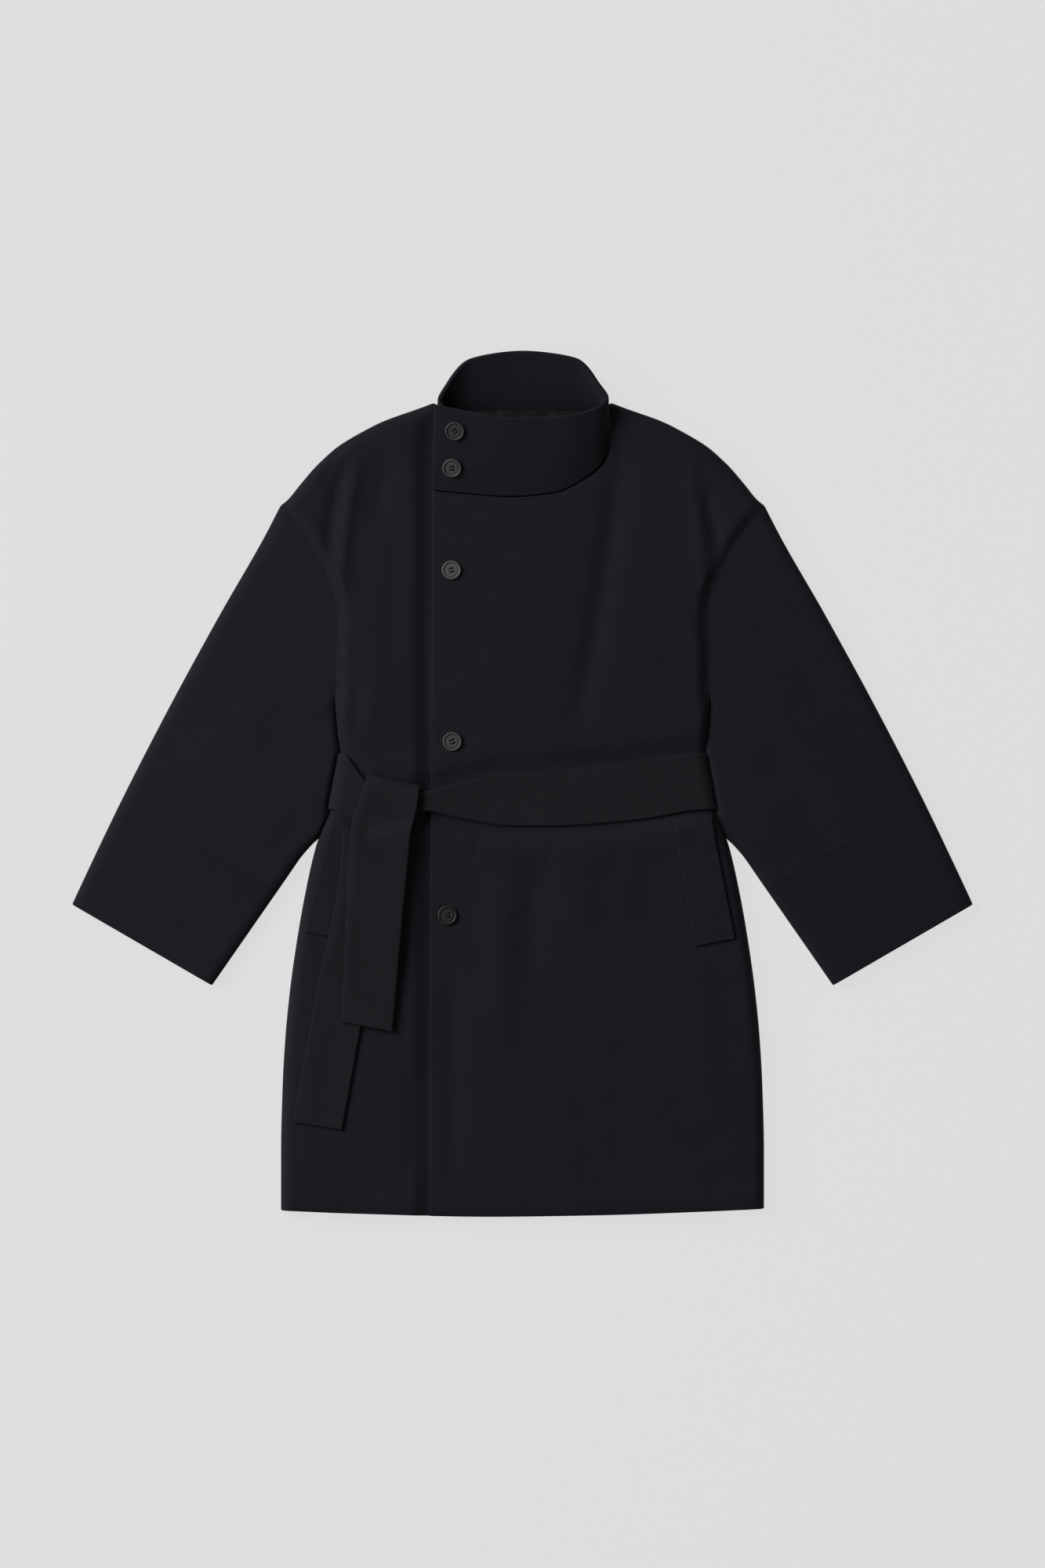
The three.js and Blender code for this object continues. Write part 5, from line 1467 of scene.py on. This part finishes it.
@dataclass
class Button:
    """A four-hole moulded button with a raised rim, sewn on with two bars of thread."""

    number: int
    on: str
    x: float
    y: float
    turn: float
    lift: float = 0.8
    hole_out: float = 2.7
    hole_r: float = 1.35
    thread_r: float = 0.42
    segments: int = 56
    profile: tuple[tuple[float, float], ...] = field(default=(
        (0, 2.25), (5.6, 2.35), (6.9, 2.3), (7.3, 1.6), (7.9, 1.5), (8.3, 2.0), (8.9, 2.95),
        (9.5, 3.32), (10.2, 3.25), (10.8, 2.7), (11.0, 1.9), (10.7, 0.9), (9.6, 0.15), (0, 0),
    ))

    def _matrix(self) -> Matrix:
        """Where the button sits, in metres."""
        turned = Matrix.Rotation(math.radians(self.turn), 4, "Z")
        place = spot_on(self.on, self.x, self.y) @ Matrix.Translation((0, 0, self.lift)) @ turned
        return Matrix.Scale(MM, 4) @ place

    def _disc(self) -> bpy.types.Object:
        """The turned disc with its four holes drilled through."""
        bm = bmesh.new()
        verts = [bm.verts.new((r, 0, z)) for r, z in self.profile]
        edges = [bm.edges.new(pair) for pair in zip(verts, verts[1:])]
        bmesh.ops.spin(bm, geom=verts + edges, axis=(0, 0, 1), cent=(0, 0, 0),
                       angle=2 * math.pi, steps=self.segments, use_merge=True)
        bmesh.ops.remove_doubles(bm, verts=bm.verts[:], dist=0.001)
        bmesh.ops.recalc_face_normals(bm, faces=bm.faces[:])
        disc = new_object(f"moulded_button_{self.number}", bm)
        drills = bmesh.new()
        for i in range(4):
            angle = math.pi / 4 + i * math.pi / 2
            at = (self.hole_out * math.cos(angle), self.hole_out * math.sin(angle), 1.5)
            bmesh.ops.create_cone(drills, cap_ends=True, segments=20, radius1=self.hole_r,
                                  radius2=self.hole_r, depth=6, matrix=Matrix.Translation(at))
        drill = new_object("drill", drills)
        cut = disc.modifiers.new("holes", "BOOLEAN")
        cut.operation, cut.solver, cut.object = "DIFFERENCE", "EXACT", drill
        graph = bpy.context.evaluated_depsgraph_get()
        mesh = bpy.data.meshes.new_from_object(disc.evaluated_get(graph))
        disc.modifiers.clear()
        disc.data = mesh
        bpy.data.objects.remove(drill)
        mesh.transform(self._matrix())
        return disc

    def _thread(self) -> bpy.types.Object:
        """Two bars of thread between the holes, with a shank down into the cloth."""
        bm = bmesh.new()
        across = self.hole_out * math.sin(math.pi / 4)
        for side in (-1, 1):
            for strand in (-0.34, 0.34):
                bar = Matrix.Translation((0, side * across + strand, 2.45)) @ Matrix.Rotation(
                    math.pi / 2, 4, "Y")
                bmesh.ops.create_cone(bm, cap_ends=True, segments=10, radius1=self.thread_r,
                                      radius2=self.thread_r, depth=2 * across + 1.0, matrix=bar)
            for end in (-1, 1):
                post = Matrix.Translation((end * across, side * across, 0.9))
                bmesh.ops.create_cone(bm, cap_ends=True, segments=10, radius1=self.hole_r * 0.8,
                                      radius2=self.hole_r * 0.7, depth=2.9, matrix=post)
        bmesh.ops.create_cone(bm, cap_ends=True, segments=16, radius1=1.5, radius2=1.5,
                              depth=3.0, matrix=Matrix.Translation((0, 0, -1.4)))
        thread = new_object(f"button_thread_{self.number}", bm)
        thread.data.transform(self._matrix())
        return thread

    def build(self) -> None:
        """Builds and dresses the button and its thread."""
        disc = dress(self._disc(), BUTTON_RESINS[self.number - 1])
        disc.data.set_sharp_from_angle(angle=math.radians(40))
        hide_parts(f"button_{self.number}")
        dress(self._thread(), BUTTON_THREAD)
        log.info("button_%d: %d faces", self.number, len(disc.data.polygons))


@dataclass
class Buttonhole:
    """The worked edge of a keyhole buttonhole, which shows past the button's rim."""

    number: int
    on: str
    x: float
    y: float
    length: float = 21.0
    width: float = 1.9
    height: float = 0.55
    slit: float = 0.7
    around: int = 160
    across: int = 7

    def build(self) -> None:
        """Builds a rounded border along both sides of the slit, one loop round it."""
        bm = bmesh.new()
        bmesh.ops.create_grid(bm, x_segments=self.around, y_segments=self.across - 1, size=1.0)
        straight = self.length - self.width
        turn = math.pi * self.width
        total = 2 * straight + 2 * turn
        place = spot_on(self.on, self.x, self.y)
        for vert in bm.verts:
            walk = (vert.co.x + 1) / 2 * total
            share = (vert.co.y + 1) / 2
            radius = mix(self.slit, self.width, share)
            stitch = 0.1 * math.cos(2 * math.pi * walk / 0.8)
            rise = (self.height + stitch) * math.sin(math.pi * share) - 0.15
            if walk < straight:
                flat = (walk, -radius)
            elif walk < straight + turn:
                angle = (walk - straight) / self.width - math.pi / 2
                flat = (straight + radius * math.cos(angle), radius * math.sin(angle))
            elif walk < 2 * straight + turn:
                flat = (2 * straight + turn - walk, radius)
            else:
                angle = (walk - 2 * straight - turn) / self.width + math.pi / 2
                flat = (radius * math.cos(angle), radius * math.sin(angle))
            vert.co = place @ Vector((flat[0], flat[1], rise)) * MM
        bmesh.ops.remove_doubles(bm, verts=bm.verts[:], dist=1e-6)
        bmesh.ops.recalc_face_normals(bm, faces=bm.faces[:])
        dress(new_object(f"worked_buttonhole_{self.number}", bm), HOLE_THREAD)
        log.info("worked_buttonhole_%d", self.number)


@dataclass
class Studio:
    """The pale floor, the soft light and the camera straight above."""

    view_height: float = 1.8
    distance: float = 8.0
    floor_colour: str = "e4e2e3"
    floor_base: str = "3d3c3d"
    floor_glow: float = 0.898
    world_strength: float = 0.24
    key_strength: float = 2.5
    key_softness: float = 32.0
    key_from: tuple[float, float, float] = (-0.9, 0.6, 0.8)
    side_power: float = 20.0
    side_from: tuple[float, float, float] = (-1.7, 0.3, 1.0)
    side_size: float = 1.2
    side_aim: tuple[float, float, float] = (-0.4, 0.05, 0.0)

    def _camera(self) -> None:
        """Sets the camera to see the whole height of the photo's frame."""
        camera = bpy.data.cameras.new("camera")
        camera.sensor_width = 36.0
        camera.lens = 36.0 * self.distance / self.view_height
        camera.clip_end = 50.0
        obj = bpy.data.objects.new("camera", camera)
        obj.location = (0, 0, self.distance)
        bpy.context.scene.collection.objects.link(obj)
        bpy.context.scene.camera = obj

    def _lights(self) -> None:
        """A broad light from the upper left, a soft panel beside it and a pale surround."""
        key = bpy.data.lights.new("key", "SUN")
        key.energy = self.key_strength
        key.angle = math.radians(self.key_softness)
        obj = bpy.data.objects.new("key", key)
        obj.rotation_euler = Vector(self.key_from).to_track_quat("Z", "Y").to_euler()
        bpy.context.scene.collection.objects.link(obj)
        lamp = bpy.data.lights.new("side_panel", "AREA")
        lamp.energy = self.side_power
        lamp.size = self.side_size
        obj = bpy.data.objects.new("side_panel", lamp)
        obj.location = self.side_from
        away = Vector(self.side_from) - Vector(self.side_aim)
        obj.rotation_euler = away.to_track_quat("Z", "Y").to_euler()
        bpy.context.scene.collection.objects.link(obj)
        world = bpy.data.worlds.new("surround")
        world.use_nodes = True
        background = world.node_tree.nodes["Background"]
        background.inputs["Color"].default_value = (1.0, 1.0, 1.0, 1.0)
        background.inputs["Strength"].default_value = self.world_strength
        bpy.context.scene.world = world

    def _floor(self) -> None:
        """A matt floor, dark but mostly lit by itself, so its tone is even and shadows faint."""
        bm = bmesh.new()
        bmesh.ops.create_grid(bm, x_segments=4, y_segments=4, size=6.0)
        floor = new_object("floor", bm)
        material = new_material("matt_pale_floor")
        shader = add_node(
            material, "ShaderNodeBsdfPrincipled", None,
            {"Base Color": to_linear(self.floor_base), "Roughness": 1.0,
             "Specular IOR Level": 0.0, "Emission Color": to_linear(self.floor_colour),
             "Emission Strength": self.floor_glow},
        )
        add_node(material, "ShaderNodeOutputMaterial", None, {"Surface": shader.outputs["BSDF"]})
        floor.data.materials.append(material)

    def build(self) -> None:
        """Sets up the camera, the lights and the floor."""
        self._camera()
        self._lights()
        self._floor()
        bpy.context.scene.view_settings.view_transform = "Standard"


def main() -> None:
    """Builds the studio and then the coat's pieces, from the back up."""
    logging.basicConfig(level=logging.INFO, format="%(name)s %(message)s")
    Studio().build()
    Body().build()
    for side in Side:
        Sleeve(side).build()
    Collar().build()
    NeckLining().build()
    Belt().build()
    BeltTail(
        "belt_tail_over", TAIL_OVER,
        ((0.15, 0.95, 0.12, 0.09, 0.7), (0.1, 0.7, 0.6, 0.2, -0.6), (0.5, 1.0, 0.85, 0.1, 0.4)),
        (0.063, 0.295),
    ).build()
    BeltTail(
        "belt_tail_under", TAIL_UNDER,
        ((0.15, 0.65, 0.16, 0.09, 1.0), (0.3, 1.0, 0.55, 0.2, -0.4)),
        (0.057, 0.345),
    ).build()
    PocketWelt(Side.LEFT).build()
    PocketWelt(Side.RIGHT, (6.0, 8.0), 0.2).build()
    for number, (on, x, y, turn) in enumerate(BUTTONS, 1):
        Button(number, on, x, y, turn).build()
        Buttonhole(number, on, x, y).build()


if __name__ == "__main__":
    main()
